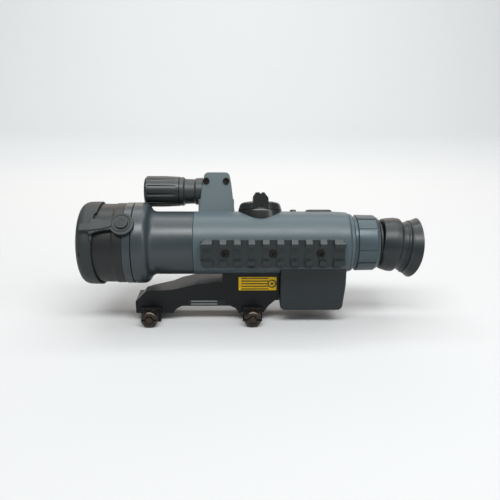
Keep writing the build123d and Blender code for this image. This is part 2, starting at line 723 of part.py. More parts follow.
illuminator_lens = lamp_turned((-41.5, 0), (-40.6, 5), (-39.6, 8.2), (-37, 8.2), (-37, 0))
save(illuminator_lens, "illuminator_lens")

# ---------------------------------------------------------------- eyepiece
ocular_r = 15.5 - joint_gap
eyecup_neck = 16.2
with BuildPart() as ocular_cell:
    with BuildSketch(LENGTHWISE):
        with BuildLine():
            Polyline((101, 13.0), (101, ocular_r), (eyecup_start, ocular_r),
                     (eyecup_start, 17.2), (eyecup_start + 1, 17.2), (eyecup_start + 1, eyecup_neck),
                     (141, eyecup_neck), (141, 13.6), (127, 13.6), (127, 13.0), close=True)
        make_face()
    revolve(axis=OPTICAL)
save(ocular_cell, "ocular_cell")
save(lens(103, 108, 13.0, 0.8, 1.6), "field_lens")
save(lens(113, 120, 13.0, 1.4, 1.8), "ocular_middle_lens")
save(lens(130, 136, 13.6, 1.4, 0.8), "eye_lens")
save(ring(136 + lens_seat, 138, 12.4, 13.6), "eye_lens_retainer")

with BuildPart() as diopter_ring:
    with BuildSketch(LENGTHWISE):
        with BuildLine():
            Polyline((diopter_start, 17.4 + joint_gap), (diopter_start, 19.4),
                     (diopter_start + 1.8, 19.4), (diopter_start + 2.4, diopter_r),
                     (diopter_end - 2.6, diopter_r - 0.2), (diopter_end - 1.4, 19.6),
                     (diopter_end, 18.8), (diopter_end, 17.4 + joint_gap), close=True)
        make_face()
    revolve(axis=OPTICAL)
    with BuildSketch(across(diopter_start + 2.4)):
        for first in (0, 44):
            with PolarLocations(diopter_r, 5, start_angle=180 - first):
                Rectangle(1.4, 1.5)
    extrude(amount=diopter_end - diopter_start - 4.4, mode=Mode.SUBTRACT)
save(diopter_ring, "diopter_ring")

cup_front = eyecup_start + 1.0
droop = radians(eyecup_droop)
cup_plane = Plane(
    origin=(cup_front, 0, axis_height), x_dir=(cos(droop), 0, -sin(droop)), z_dir=(0, -1, 0))
CUP = Axis((cup_front, 0, axis_height), (cos(droop), 0, -sin(droop)))
cup_mid = Plane(
    origin=(cup_front, 0, axis_height), x_dir=(cos(droop), 0, -sin(droop)),
    z_dir=(sin(droop), 0, cos(droop)))
cup_saddle = 2.4            # the rim's two sides reach further back than its top and bottom
with BuildPart() as eyecup:
    with BuildSketch(cup_plane):
        with BuildLine():
            Polyline((-3, 0), (-3, 17.6), (0, 18.0), (3.5, 19.0), (8.5, 20.0), (12.4, 19.8), (13.2, 19.2),
                     (13.9, 17.6), (18.0, 17.6), (18.6, 19.4), (21.5, 20.4), (eyecup_rim, eyecup_rim_r - 0.4),
                     (34, 27.4), (34, 0), close=True)
        make_face()
    revolve(axis=CUP)
    with BuildSketch(cup_plane):
        with BuildLine():
            Polyline((12.5, 0), (12.5, 14.6), (19.0, 16.0), (eyecup_rim, 20.6), (36, 27.6), (36, 0),
                     close=True)
        make_face()
    revolve(axis=CUP, mode=Mode.SUBTRACT)
    with BuildSketch(across(cup_front - 6)):
        Circle(eyecup_neck + 0.02)
    extrude(amount=6 + 12.6, mode=Mode.SUBTRACT)
    split(bisect_by=Plane(origin=(cup_front, 0, axis_height), z_dir=(1, 0, 0)), keep=Keep.TOP)
    with BuildSketch(cup_mid):
        with BuildLine():
            ThreePointArc(
                (eyecup_rim + 4 * cup_saddle, -2 * eyecup_rim_r), (eyecup_rim, 0),
                (eyecup_rim + 4 * cup_saddle, 2 * eyecup_rim_r))
            Polyline(
                (eyecup_rim + 4 * cup_saddle, 2 * eyecup_rim_r), (60, 2 * eyecup_rim_r),
                (60, -2 * eyecup_rim_r), (eyecup_rim + 4 * cup_saddle, -2 * eyecup_rim_r))
        make_face()
    extrude(amount=2 * eyecup_rim_r, both=True, mode=Mode.SUBTRACT)
save(eyecup, "eyecup")

# ---------------------------------------------------------------- bracket with its two clamp feet
def side_height(rise):
    """Height in the rail's frame of a point given from the optical axis."""
    return axis_height + rise


arm_underside = 5.6
screw_seat = 18.0
foot_front_x = (-49.2, -22.6)
foot_rear_x = (27.6, 46.2)
pocket_half = 7.6
with BuildPart() as mount_bracket:
    with BuildSketch(SIDE.offset(-bracket_near)):
        with BuildLine():
            Polyline((foot_front_x[0], -5.0), (foot_front_x[0], 9.2), (-41.4, 17.2), (-36.6, 17.8),
                     (-22.0, 18.4), (-4, 22.8), (15.5, 24.6), (15.5, 36), (box_left - 0.5, 36),
                     (box_left - 0.5, 10.1), (54.5, 9.8), (50, 5.8), (46.4, 0.6), (foot_rear_x[1], -2),
                     (43.8, -6.0), (31.4, -6.0), (foot_rear_x[0], 0), (25.2, 3.6), (21, arm_underside),
                     (-14.6, arm_underside), (-19, 3.3), (foot_front_x[1], -1.6), (-30.6, -1.8),
                     (-33, -6.0), (-46.8, -6.0), close=True)
        make_face()
    extrude(amount=bracket_near - bracket_far)
    # the far side of the front arm tapers in
    with BuildSketch(Plane.XY.offset(9)):
        with BuildLine():
            Polyline((-54, -9), (-14, bracket_far + 1), (-54, bracket_far + 1), close=True)
        make_face()
    extrude(amount=20, mode=Mode.SUBTRACT)
    # fixed hooks on the far side
    with BuildSketch(across(-44.4, 0)):
        with BuildLine():
            Polyline((bracket_far, 9), (hook_far, 7), (hook_far, hook_bottom), (8.8, hook_bottom),
                     (8.8, -5.3), (11.0, -3.1), (11.0, 9), close=True)
        make_face()
    extrude(amount=13.2)
    with BuildSketch(across(31.2, 0)):
        with BuildLine():
            Polyline((bracket_far, 9), (hook_far, 7), (hook_far, hook_bottom), (8.8, hook_bottom),
                     (8.8, -5.3), (11.0, -3.1), (11.0, 9), close=True)
        make_face()
    extrude(amount=13.2)
    # groove for the weapon rail
    with BuildSketch(across(-52, 0)):
        with BuildLine():
            Polyline((-14, 0), (11.0, 0), (11.0, -3.1), (8.8, -5.3), (8.8, -8), (-14, -8), close=True)
        make_face()
    extrude(amount=100, mode=Mode.SUBTRACT)
    # pockets for the moving jaws
    for foot_x in (-clamp_x, clamp_x):
        with BuildSketch(SIDE.offset(-bracket_near)):
            with Locations((foot_x, -1)):
                Rectangle(2 * pocket_half, 12.4)
        extrude(amount=-1.0, mode=Mode.SUBTRACT)
        with BuildSketch(SIDE.offset(-bracket_near)):
            with Locations((foot_x, bolt_z)):
                Circle(bolt_r + joint_gap)
        extrude(amount=bracket_near - hook_far, mode=Mode.SUBTRACT)
        with BuildSketch(SIDE.offset(-hook_far)):
            with Locations((foot_x, bolt_z)):
                Circle(4.3)
        extrude(amount=2.4, mode=Mode.SUBTRACT)
    # saddle that hugs the tube
    with BuildSketch(across(-5)):
        Circle(tube_r)
    extrude(amount=65, mode=Mode.SUBTRACT)
    # counterbored screw holes up into the housing
    with BuildSketch(Plane.XY):
        with Locations(*bracket_screw_spots):
            Circle(3.6)
    extrude(amount=screw_seat, mode=Mode.SUBTRACT)
    with BuildSketch(Plane.XY):
        with Locations(*bracket_screw_spots):
            Circle(2.0)
    extrude(amount=axis_height - tube_r + 4, mode=Mode.SUBTRACT)
save(mount_bracket, "mount_bracket")

with BuildPart() as bracket_screws:
    with BuildSketch(Plane.XY.offset(screw_seat)):
        with Locations(*bracket_screw_spots):
            Circle(3.5)
    extrude(amount=-4)
    with BuildSketch(Plane.XY.offset(screw_seat)):
        with Locations(*bracket_screw_spots):
            Circle(2.0)
    extrude(amount=axis_height - tube_r - screw_seat + 3.2)
    with BuildSketch(Plane.XY.offset(screw_seat - 4)):
        with Locations(*bracket_screw_spots):
            RegularPolygon(2.0, 6)
    extrude(amount=2.2, mode=Mode.SUBTRACT)
save(bracket_screws, "bracket_screws")

jaw_near, jaw_face = -14.8, -12.0 + 0.9
with BuildPart() as clamp_bolts:
    for foot_x in (-clamp_x, clamp_x):
        with BuildSketch(SIDE.offset(-nut_face + 0.6)):
            with Locations((foot_x, bolt_z)):
                Circle(bolt_r)
        extrude(amount=nut_face - 0.6 - hook_far)
        with BuildSketch(SIDE.offset(-hook_far + 2.4)):
            with Locations((foot_x, bolt_z)):
                Circle(4.2)
        extrude(amount=-3.2)
save(clamp_bolts, "clamp_bolts")


def clamp_jaw(foot_x):
    """Jaw that hooks under the near edge of the weapon rail and rides on the clamp bolt."""
    with BuildPart() as jaw:
        with BuildSketch(across(foot_x - pocket_half + 0.4, 0)):
            with BuildLine():
                Polyline((jaw_near, 4.6), (jaw_near + 0.8, 5.0), (jaw_face - 0.05, 5.0),
                         (jaw_face - 0.05, -3.1), (-8.8, -5.4), (-8.8, hook_bottom),
                         (jaw_near + 1, hook_bottom), (jaw_near, hook_bottom + 1), close=True)
            make_face()
        extrude(amount=2 * (pocket_half - 0.4))
        with BuildSketch(SIDE.offset(-jaw_near + 1)):
            with Locations((foot_x, bolt_z)):
                Circle(bolt_r + joint_gap)
        extrude(amount=-8, mode=Mode.SUBTRACT)
    return jaw


def clamp_nut(foot_x):
    """Slotted round nut: washer collar against the jaw, waist, then a slotted head."""
    with BuildPart() as nut:
        with BuildSketch(SIDE.offset(-jaw_near + 0.02)):
            with Locations((foot_x, bolt_z)):
                Circle(nut_r - 0.2)
        extrude(amount=2.6)
        with BuildSketch(SIDE.offset(-jaw_near + 2.6)):
            with Locations((foot_x, bolt_z)):
                Circle(nut_r - 1.2)
        extrude(amount=2.8)
        with BuildSketch(SIDE.offset(-jaw_near + 5.2)):
            with Locations((foot_x, bolt_z)):
                Circle(nut_r)
        extrude(amount=jaw_near - nut_face - 5.2)
        chamfer(nut.edges().filter_by(GeomType.CIRCLE).group_by(Axis.Y)[0], 0.7)
        with BuildSketch(SIDE.offset(-nut_face)):
            with Locations((foot_x, bolt_z)):
                Circle(bolt_r + 0.7)
        extrude(amount=-2.2, mode=Mode.SUBTRACT)
        with BuildSketch(SIDE.offset(-nut_face)):
            with Locations((foot_x, bolt_z)):
                Rectangle(3 * nut_r, 1.6)
        extrude(amount=-2.0, mode=Mode.SUBTRACT)
        with BuildSketch(SIDE.offset(-nut_face)):
            with Locations((foot_x, bolt_z)):
                Circle(bolt_r + joint_gap)
        extrude(amount=-14, mode=Mode.SUBTRACT)
    return nut


save(clamp_jaw(-clamp_x), "front_clamp_jaw")
save(clamp_jaw(clamp_x), "rear_clamp_jaw")
save(clamp_nut(-clamp_x), "front_clamp_nut")
save(clamp_nut(clamp_x), "rear_clamp_nut")

# ---------------------------------------------------------------- labels on the bracket
label_thickness = 0.3
with BuildPart() as warning_label:
    with BuildSketch(SIDE.offset(-bracket_near)):
        with Locations((41.4, side_height(-28.0))):
            RectangleRounded(28.0, 10.4, 0.5)
    extrude(amount=label_thickness)
save(warning_label, "warning_label")

with BuildPart() as maker_label:
    with BuildSketch(SIDE.offset(-bracket_near)):
        with Locations((3.6, side_height(-43.0))):
            RectangleRounded(27.0, 4.4, 0.4)
    extrude(amount=label_thickness)
save(maker_label, "maker_label")
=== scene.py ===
import json
import math

import bmesh
import bpy
from bpy.props import FloatProperty, FloatVectorProperty, IntProperty, PointerProperty
from mathutils import Matrix, Vector


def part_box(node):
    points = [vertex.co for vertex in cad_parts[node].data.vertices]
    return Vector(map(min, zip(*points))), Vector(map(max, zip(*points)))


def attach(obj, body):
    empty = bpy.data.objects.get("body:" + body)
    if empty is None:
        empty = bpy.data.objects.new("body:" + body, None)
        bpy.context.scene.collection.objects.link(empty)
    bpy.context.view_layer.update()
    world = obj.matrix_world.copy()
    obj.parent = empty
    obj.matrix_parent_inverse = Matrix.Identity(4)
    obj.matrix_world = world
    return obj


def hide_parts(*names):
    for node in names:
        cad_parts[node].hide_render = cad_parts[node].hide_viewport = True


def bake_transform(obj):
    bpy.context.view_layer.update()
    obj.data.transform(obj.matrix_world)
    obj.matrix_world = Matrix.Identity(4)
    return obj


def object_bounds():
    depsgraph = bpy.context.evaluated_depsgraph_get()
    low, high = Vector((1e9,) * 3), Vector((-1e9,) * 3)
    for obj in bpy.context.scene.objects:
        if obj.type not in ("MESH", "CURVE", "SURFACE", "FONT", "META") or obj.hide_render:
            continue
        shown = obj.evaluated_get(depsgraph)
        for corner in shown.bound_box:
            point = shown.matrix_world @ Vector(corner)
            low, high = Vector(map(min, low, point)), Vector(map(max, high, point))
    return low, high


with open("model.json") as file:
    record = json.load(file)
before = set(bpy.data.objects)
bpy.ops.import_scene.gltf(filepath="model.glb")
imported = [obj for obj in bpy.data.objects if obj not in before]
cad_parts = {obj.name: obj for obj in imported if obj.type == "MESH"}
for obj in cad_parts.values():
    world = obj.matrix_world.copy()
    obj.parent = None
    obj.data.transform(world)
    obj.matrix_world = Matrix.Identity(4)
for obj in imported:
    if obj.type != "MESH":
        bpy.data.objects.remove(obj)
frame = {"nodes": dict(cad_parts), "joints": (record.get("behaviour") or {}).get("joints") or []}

bl_info = {
    "name": "Night Vision Sight",
    "version": (1, 0, 0),
    "blender": (4, 5, 0),
    "location": "View3D > Sidebar > Sight",
    "description": "Finishes and soft pieces of a night vision sight on its rail clamp bracket",
    "category": "Object",
}

MM = 0.001
NODES = frame["nodes"]
CAD_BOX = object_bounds()


def centre_of(node):
    """Middle of a CAD node's box."""
    low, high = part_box(node)
    return (low + high) / 2


AXIS_Z = centre_of("front_housing").z       # the optical axis lies on the turned front housing
CAP_LOW, CAP_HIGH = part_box("objective_cap")
SLEEVE_LOW, SLEEVE_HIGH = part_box("barrel_sleeve")
CUP_LOW, CUP_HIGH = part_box("eyecup")


def hinge_of(name):
    """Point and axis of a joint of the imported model."""
    joint = next(j for j in frame["joints"] if j["name"] == name)
    return Vector(joint["pos_m"]), Vector(joint["axis"])


DOOR_LOW, DOOR_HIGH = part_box("battery_door")
BOX_SHADE_FROM = (DOOR_LOW.x - 0.0020, AXIS_Z - 0.0144, DOOR_HIGH.x + 0.0041)   # front, top and back of the box, over which the housing paint is darkened as painted shade
CAP_HINGE, CAP_HINGE_AXIS = hinge_of("cap_hinge")
STRAP_SPOKE = (CAP_HINGE - Vector((CAP_HINGE.x, 0, AXIS_Z))).normalized()   # out through the strap
ROCKER_PIVOT, ROCKER_ACROSS = hinge_of("brightness_rock")
SWITCH_PIVOT, SWITCH_AXIS = hinge_of("mode_switch_turn")


# ------------------------------------------------------------------ settings a user would change
class SightPaint(bpy.types.PropertyGroup):
    """Colours and edge wear of the hard finishes."""
    housing: FloatVectorProperty(
        name="Housing", description="Satin paint on the main tube", subtype="COLOR", size=3,
        min=0, max=1, default=(0.052, 0.076, 0.087))
    front: FloatVectorProperty(
        name="Front tube", description="Smoother paint on the bell and front tube", subtype="COLOR",
        size=3, min=0, max=1, default=(0.021, 0.030, 0.034))
    rail: FloatVectorProperty(
        name="Rail", description="Anodised accessory rail", subtype="COLOR", size=3,
        min=0, max=1, default=(0.0115, 0.0172, 0.0188))
    bracket: FloatVectorProperty(
        name="Bracket", description="Anodised clamp bracket", subtype="COLOR", size=3,
        min=0, max=1, default=(0.0055, 0.0065, 0.007))
    nut: FloatVectorProperty(
        name="Clamp nuts", description="Oiled gunmetal", subtype="COLOR", size=3,
        min=0, max=1, default=(0.040, 0.031, 0.024))
    label: FloatVectorProperty(
        name="Label", description="Printed yellow film", subtype="COLOR", size=3,
        min=0, max=1, default=(0.85, 0.53, 0.0))
    wear: FloatProperty(
        name="Edge wear", description="How much bare metal shows on hard edges", subtype="FACTOR",
        min=0, max=1, default=0.35)


class SightRubber(bpy.types.PropertyGroup):
    """Shape and colour of the rubber pieces."""
    cap: FloatVectorProperty(
        name="Cap", description="Rubber of the cap, strap and barrel sleeve", subtype="COLOR", size=3,
        min=0, max=1, default=(0.014, 0.0185, 0.020))
    eyecup: FloatVectorProperty(
        name="Eyecup", description="Rubber of the eyecup", subtype="COLOR", size=3,
        min=0, max=1, default=(0.0115, 0.0155, 0.0172))
    cup_wall: FloatProperty(
        name="Eyecup wall", description="Thickness of the eyecup's flared rim", subtype="DISTANCE",
        min=0.0005, max=0.004, default=0.0013)
    cup_lean: FloatProperty(
        name="Rim lean", description="How far the eyecup's rim leans back at the top", subtype="ANGLE",
        min=0, max=0.5, default=math.radians(8.5))
    segments: IntProperty(
        name="Segments", description="Facets round a turned rubber piece", min=32, max=256, default=144)


# ------------------------------------------------------------------ shader helpers
def add_node(tree, kind, inputs=None, **settings):
    """New shader node with its settings and unlinked input values."""
    made = tree.nodes.new(kind)
    for key, value in settings.items():
        setattr(made, key, value)
    for key, value in (inputs or {}).items():
        made.inputs[key].default_value = value
    return made


def join(tree, source, target):
    tree.links.new(source, target)


def mix_colour(tree, factor, first, second):
    """Blend of two colours, each a plain colour or an output socket."""
    mixer = add_node(tree, "ShaderNodeMix", data_type="RGBA")
    join(tree, factor, mixer.inputs[0])
    for place, value in ((6, first), (7, second)):
        if isinstance(value, tuple):
            mixer.inputs[place].default_value = value
        else:
            join(tree, value, mixer.inputs[place])
    return mixer.outputs[2]


def new_group(name, inputs, outputs):
    """Empty shader group with its sockets, and its input and output nodes."""
    tree = bpy.data.node_groups.new(name, "ShaderNodeTree")
    for label, kind, default in inputs:
        socket = tree.interface.new_socket(label, in_out="INPUT", socket_type=kind)
        socket.default_value = default
    for label, kind in outputs:
        tree.interface.new_socket(label, in_out="OUTPUT", socket_type=kind)
    return tree, tree.nodes.new("NodeGroupInput"), tree.nodes.new("NodeGroupOutput")


def group_edge_wear():
    """Mask of hard edges, broken up by noise, and a normal rounded over them."""
    name = "Edge Wear"
    if name in bpy.data.node_groups:
        return bpy.data.node_groups[name]
    tree, given, out = new_group(
        name,
        [("Radius", "NodeSocketFloat", 0.0004), ("Amount", "NodeSocketFloat", 0.4),
         ("Breakup Scale", "NodeSocketFloat", 400.0)],
        [("Mask", "NodeSocketFloat"), ("Normal", "NodeSocketVector")])
    bevel = add_node(tree, "ShaderNodeBevel", samples=6)
    shape = add_node(tree, "ShaderNodeNewGeometry")
    coords = add_node(tree, "ShaderNodeTexCoord")
    facing = add_node(tree, "ShaderNodeVectorMath", operation="DOT_PRODUCT")
    noise = add_node(tree, "ShaderNodeTexNoise", {"Detail": 5.0, "Roughness": 0.6})
    edge = add_node(tree, "ShaderNodeMapRange", {"From Min": 0.985, "From Max": 0.80})
    broken = add_node(tree, "ShaderNodeMapRange", {"From Min": 0.42, "From Max": 0.62})
    product = add_node(tree, "ShaderNodeMath", operation="MULTIPLY")
    scaled = add_node(tree, "ShaderNodeMath", operation="MULTIPLY", use_clamp=True)
    join(tree, given.outputs["Radius"], bevel.inputs["Radius"])
    join(tree, bevel.outputs["Normal"], facing.inputs[0])
    join(tree, shape.outputs["Normal"], facing.inputs[1])
    join(tree, facing.outputs["Value"], edge.inputs["Value"])
    join(tree, coords.outputs["Object"], noise.inputs["Vector"])
    join(tree, given.outputs["Breakup Scale"], noise.inputs["Scale"])
    join(tree, noise.outputs["Fac"], broken.inputs["Value"])
    join(tree, edge.outputs["Result"], product.inputs[0])
    join(tree, broken.outputs["Result"], product.inputs[1])
    join(tree, product.outputs[0], scaled.inputs[0])
    join(tree, given.outputs["Amount"], scaled.inputs[1])
    join(tree, scaled.outputs[0], out.inputs["Mask"])
    join(tree, bevel.outputs["Normal"], out.inputs["Normal"])
    return tree


def group_fine_grain():
    """Fine raised grain of sprayed paint, blasted metal or spark-eroded moulding."""
    name = "Fine Grain"
    if name in bpy.data.node_groups:
        return bpy.data.node_groups[name]
    tree, given, out = new_group(
        name,
        [("Scale", "NodeSocketFloat", 2500.0), ("Softness", "NodeSocketFloat", 0.5)],
        [("Height", "NodeSocketFloat"), ("Speckle", "NodeSocketFloat")])
    coords = add_node(tree, "ShaderNodeTexCoord")
    cells = add_node(tree, "ShaderNodeTexVoronoi", feature="SMOOTH_F1")
    grain = add_node(tree, "ShaderNodeTexNoise", {"Detail": 3.0, "Roughness": 0.55})
    mixed = add_node(tree, "ShaderNodeMath", {1: 0.5}, operation="MULTIPLY")
    total = add_node(tree, "ShaderNodeMath", operation="ADD", use_clamp=True)
    speckle = add_node(tree, "ShaderNodeMapRange", {"From Min": 0.35, "From Max": 0.65})
    join(tree, coords.outputs["Object"], cells.inputs["Vector"])
    join(tree, coords.outputs["Object"], grain.inputs["Vector"])
    join(tree, given.outputs["Scale"], cells.inputs["Scale"])
    join(tree, given.outputs["Scale"], grain.inputs["Scale"])
    join(tree, given.outputs["Softness"], cells.inputs["Smoothness"])
    join(tree, cells.outputs["Distance"], mixed.inputs[0])
    join(tree, mixed.outputs[0], total.inputs[0])
    join(tree, grain.outputs["Fac"], total.inputs[1])
    join(tree, total.outputs[0], out.inputs["Height"])
    join(tree, grain.outputs["Fac"], speckle.inputs["Value"])
    join(tree, speckle.outputs["Result"], out.inputs["Speckle"])
    return tree


def group_handling():
    """Soft cloudy marks of handling and a few fine scuffs, for roughness and tone."""
    name = "Handling Marks"
    if name in bpy.data.node_groups:
        return bpy.data.node_groups[name]
    tree, given, out = new_group(
        name,
        [("Scale", "NodeSocketFloat", 45.0), ("Scuffs", "NodeSocketFloat", 0.4)],
        [("Cloud", "NodeSocketFloat"), ("Scuff", "NodeSocketFloat")])
    coords = add_node(tree, "ShaderNodeTexCoord")
    cloud = add_node(tree, "ShaderNodeTexNoise", {"Detail": 6.0, "Roughness": 0.62, "Distortion": 0.4})
    stretch = add_node(tree, "ShaderNodeMapping", {"Scale": (0.25, 1.0, 1.0), "Rotation": (0.2, 0.5, 0.35)})
    streak = add_node(tree, "ShaderNodeTexNoise", {"Scale": 700.0, "Detail": 4.0, "Roughness": 0.7})
    thin = add_node(tree, "ShaderNodeMapRange", {"From Min": 0.66, "From Max": 0.74})
    scuff = add_node(tree, "ShaderNodeMath", operation="MULTIPLY", use_clamp=True)
    join(tree, coords.outputs["Object"], cloud.inputs["Vector"])
    join(tree, given.outputs["Scale"], cloud.inputs["Scale"])
    join(tree, coords.outputs["Object"], stretch.inputs["Vector"])
    join(tree, stretch.outputs["Vector"], streak.inputs["Vector"])
    join(tree, streak.outputs["Fac"], thin.inputs["Value"])
    join(tree, thin.outputs["Result"], scuff.inputs[0])
    join(tree, given.outputs["Scuffs"], scuff.inputs[1])
    join(tree, cloud.outputs["Fac"], out.inputs["Cloud"])
    join(tree, scuff.outputs[0], out.inputs["Scuff"])
    return tree


def place_group(tree, group, **values):
    """Put a shared group into a material with this material's own values."""
    made = add_node(tree, "ShaderNodeGroup", node_tree=group)
    for key, value in values.items():
        made.inputs[key.replace("_", " ")].default_value = value
    return made


def new_material(name, roughness, metallic=0.0, **sockets):
    """Material with a bare Principled shader; named sockets are set directly."""
    material = bpy.data.materials.new(name)
    material.use_nodes = True
    shader = material.node_tree.nodes["Principled BSDF"]
    shader.inputs["Roughness"].default_value = roughness
    shader.inputs["Metallic"].default_value = metallic
    for key, value in sockets.items():
        shader.inputs[key.replace("_", " ")].default_value = value
    return material, material.node_tree, shader


def finish_material(
        name, colour, roughness, *, metallic=0.0, bare=None, wear=0.3, edge_radius=0.00035,
        grain=2500.0, bump=0.12, grain_depth=0.00004, tone=0.12, rough_spread=0.12, scuffs=0.4,
        cloud=45.0, painted_box_shade_from=None, **sockets):
    """Coated or moulded finish: grain, cloudy handling marks, scuffs and worn edges.

    The box argument gives the front, the top and the back of the electronics box, over which the coat is darkened as
    painted shade."""
    material, tree, shader = new_material(name, roughness, metallic, **sockets)
    edge = place_group(tree, group_edge_wear(), Radius=edge_radius, Amount=wear)
    fine = place_group(tree, group_fine_grain(), Scale=grain)
    marks = place_group(tree, group_handling(), Scale=cloud, Scuffs=scuffs)
    light = tuple(min(1.0, c * (1 + tone) + 0.001) for c in colour) + (1.0,)
    dark = tuple(c * (1 - tone) for c in colour) + (1.0,)
    bare = tuple(bare or (min(1.0, 2.4 * c + 0.02) for c in colour)) + (1.0,)
    speckle_amount = add_node(tree, "ShaderNodeMath", {1: 0.7}, operation="MULTIPLY")
    scuff_amount = add_node(tree, "ShaderNodeMath", {1: 0.18}, operation="MULTIPLY")
    join(tree, fine.outputs["Speckle"], speckle_amount.inputs[0])
    join(tree, marks.outputs["Scuff"], scuff_amount.inputs[0])
    paint = mix_colour(tree, marks.outputs["Cloud"], dark, light)
    paint = mix_colour(tree, speckle_amount.outputs[0], paint, light)
    paint = mix_colour(tree, scuff_amount.outputs[0], paint, bare)
    paint = mix_colour(tree, edge.outputs["Mask"], paint, bare)
    # Painted shade: the housing round the electronics box below the rail is darkened to a fifth of its colour.
    if painted_box_shade_from is not None:
        coords = add_node(tree, "ShaderNodeTexCoord")
        split = add_node(tree, "ShaderNodeSeparateXYZ")
        lower = add_node(tree, "ShaderNodeMath", {1: painted_box_shade_from[1]}, operation="LESS_THAN")
        behind = add_node(tree, "ShaderNodeMath", {1: painted_box_shade_from[0]}, operation="GREATER_THAN")
        before = add_node(tree, "ShaderNodeMath", {1: painted_box_shade_from[2]}, operation="LESS_THAN")
        both = add_node(tree, "ShaderNodeMath", operation="MULTIPLY")
        inside = add_node(tree, "ShaderNodeMath", operation="MULTIPLY")
        join(tree, coords.outputs["Object"], split.inputs[0])
        join(tree, split.outputs["Z"], lower.inputs[0])
        join(tree, split.outputs["X"], behind.inputs[0])
        join(tree, split.outputs["X"], before.inputs[0])
        join(tree, behind.outputs[0], both.inputs[0])
        join(tree, before.outputs[0], both.inputs[1])
        join(tree, lower.outputs[0], inside.inputs[0])
        join(tree, both.outputs[0], inside.inputs[1])
        paint = mix_colour(tree, inside.outputs[0], paint, tuple(0.2 * c for c in colour) + (1.0,))
    join(tree, paint, shader.inputs["Base Color"])
    rough = add_node(tree, "ShaderNodeMapRange", {
        "From Min": 0.3, "From Max": 0.7,
        "To Min": max(0.02, roughness - rough_spread / 2), "To Max": min(1.0, roughness + rough_spread / 2)})
    join(tree, marks.outputs["Cloud"], rough.inputs["Value"])
    join(tree, rough.outputs["Result"], shader.inputs["Roughness"])
    relief = add_node(tree, "ShaderNodeBump", {"Strength": bump, "Distance": grain_depth})
    join(tree, fine.outputs["Height"], relief.inputs["Height"])
    join(tree, edge.outputs["Normal"], relief.inputs["Normal"])
    join(tree, relief.outputs["Normal"], shader.inputs["Normal"])
    return material


def glass_material(name, tint, coat):
    """Coated optical glass with a faint film of dust."""
    material, tree, shader = new_material(
        name, 0.03, IOR=1.52, Transmission_Weight=0.92, Coat_Weight=0.6, Coat_Roughness=0.02)
    shader.inputs["Coat Tint"].default_value = coat + (1.0,)
    marks = place_group(tree, group_handling(), Scale=60.0, Scuffs=0.3)
    rough = add_node(tree, "ShaderNodeMapRange", {"To Min": 0.01, "To Max": 0.07})
    deeper = tuple(0.9 * t for t in tint) + (1.0,)
    join(tree, mix_colour(tree, marks.outputs["Cloud"], tint + (1.0,), deeper), shader.inputs["Base Color"])
    join(tree, marks.outputs["Cloud"], rough.inputs["Value"])
    join(tree, rough.outputs["Result"], shader.inputs["Roughness"])
    return material


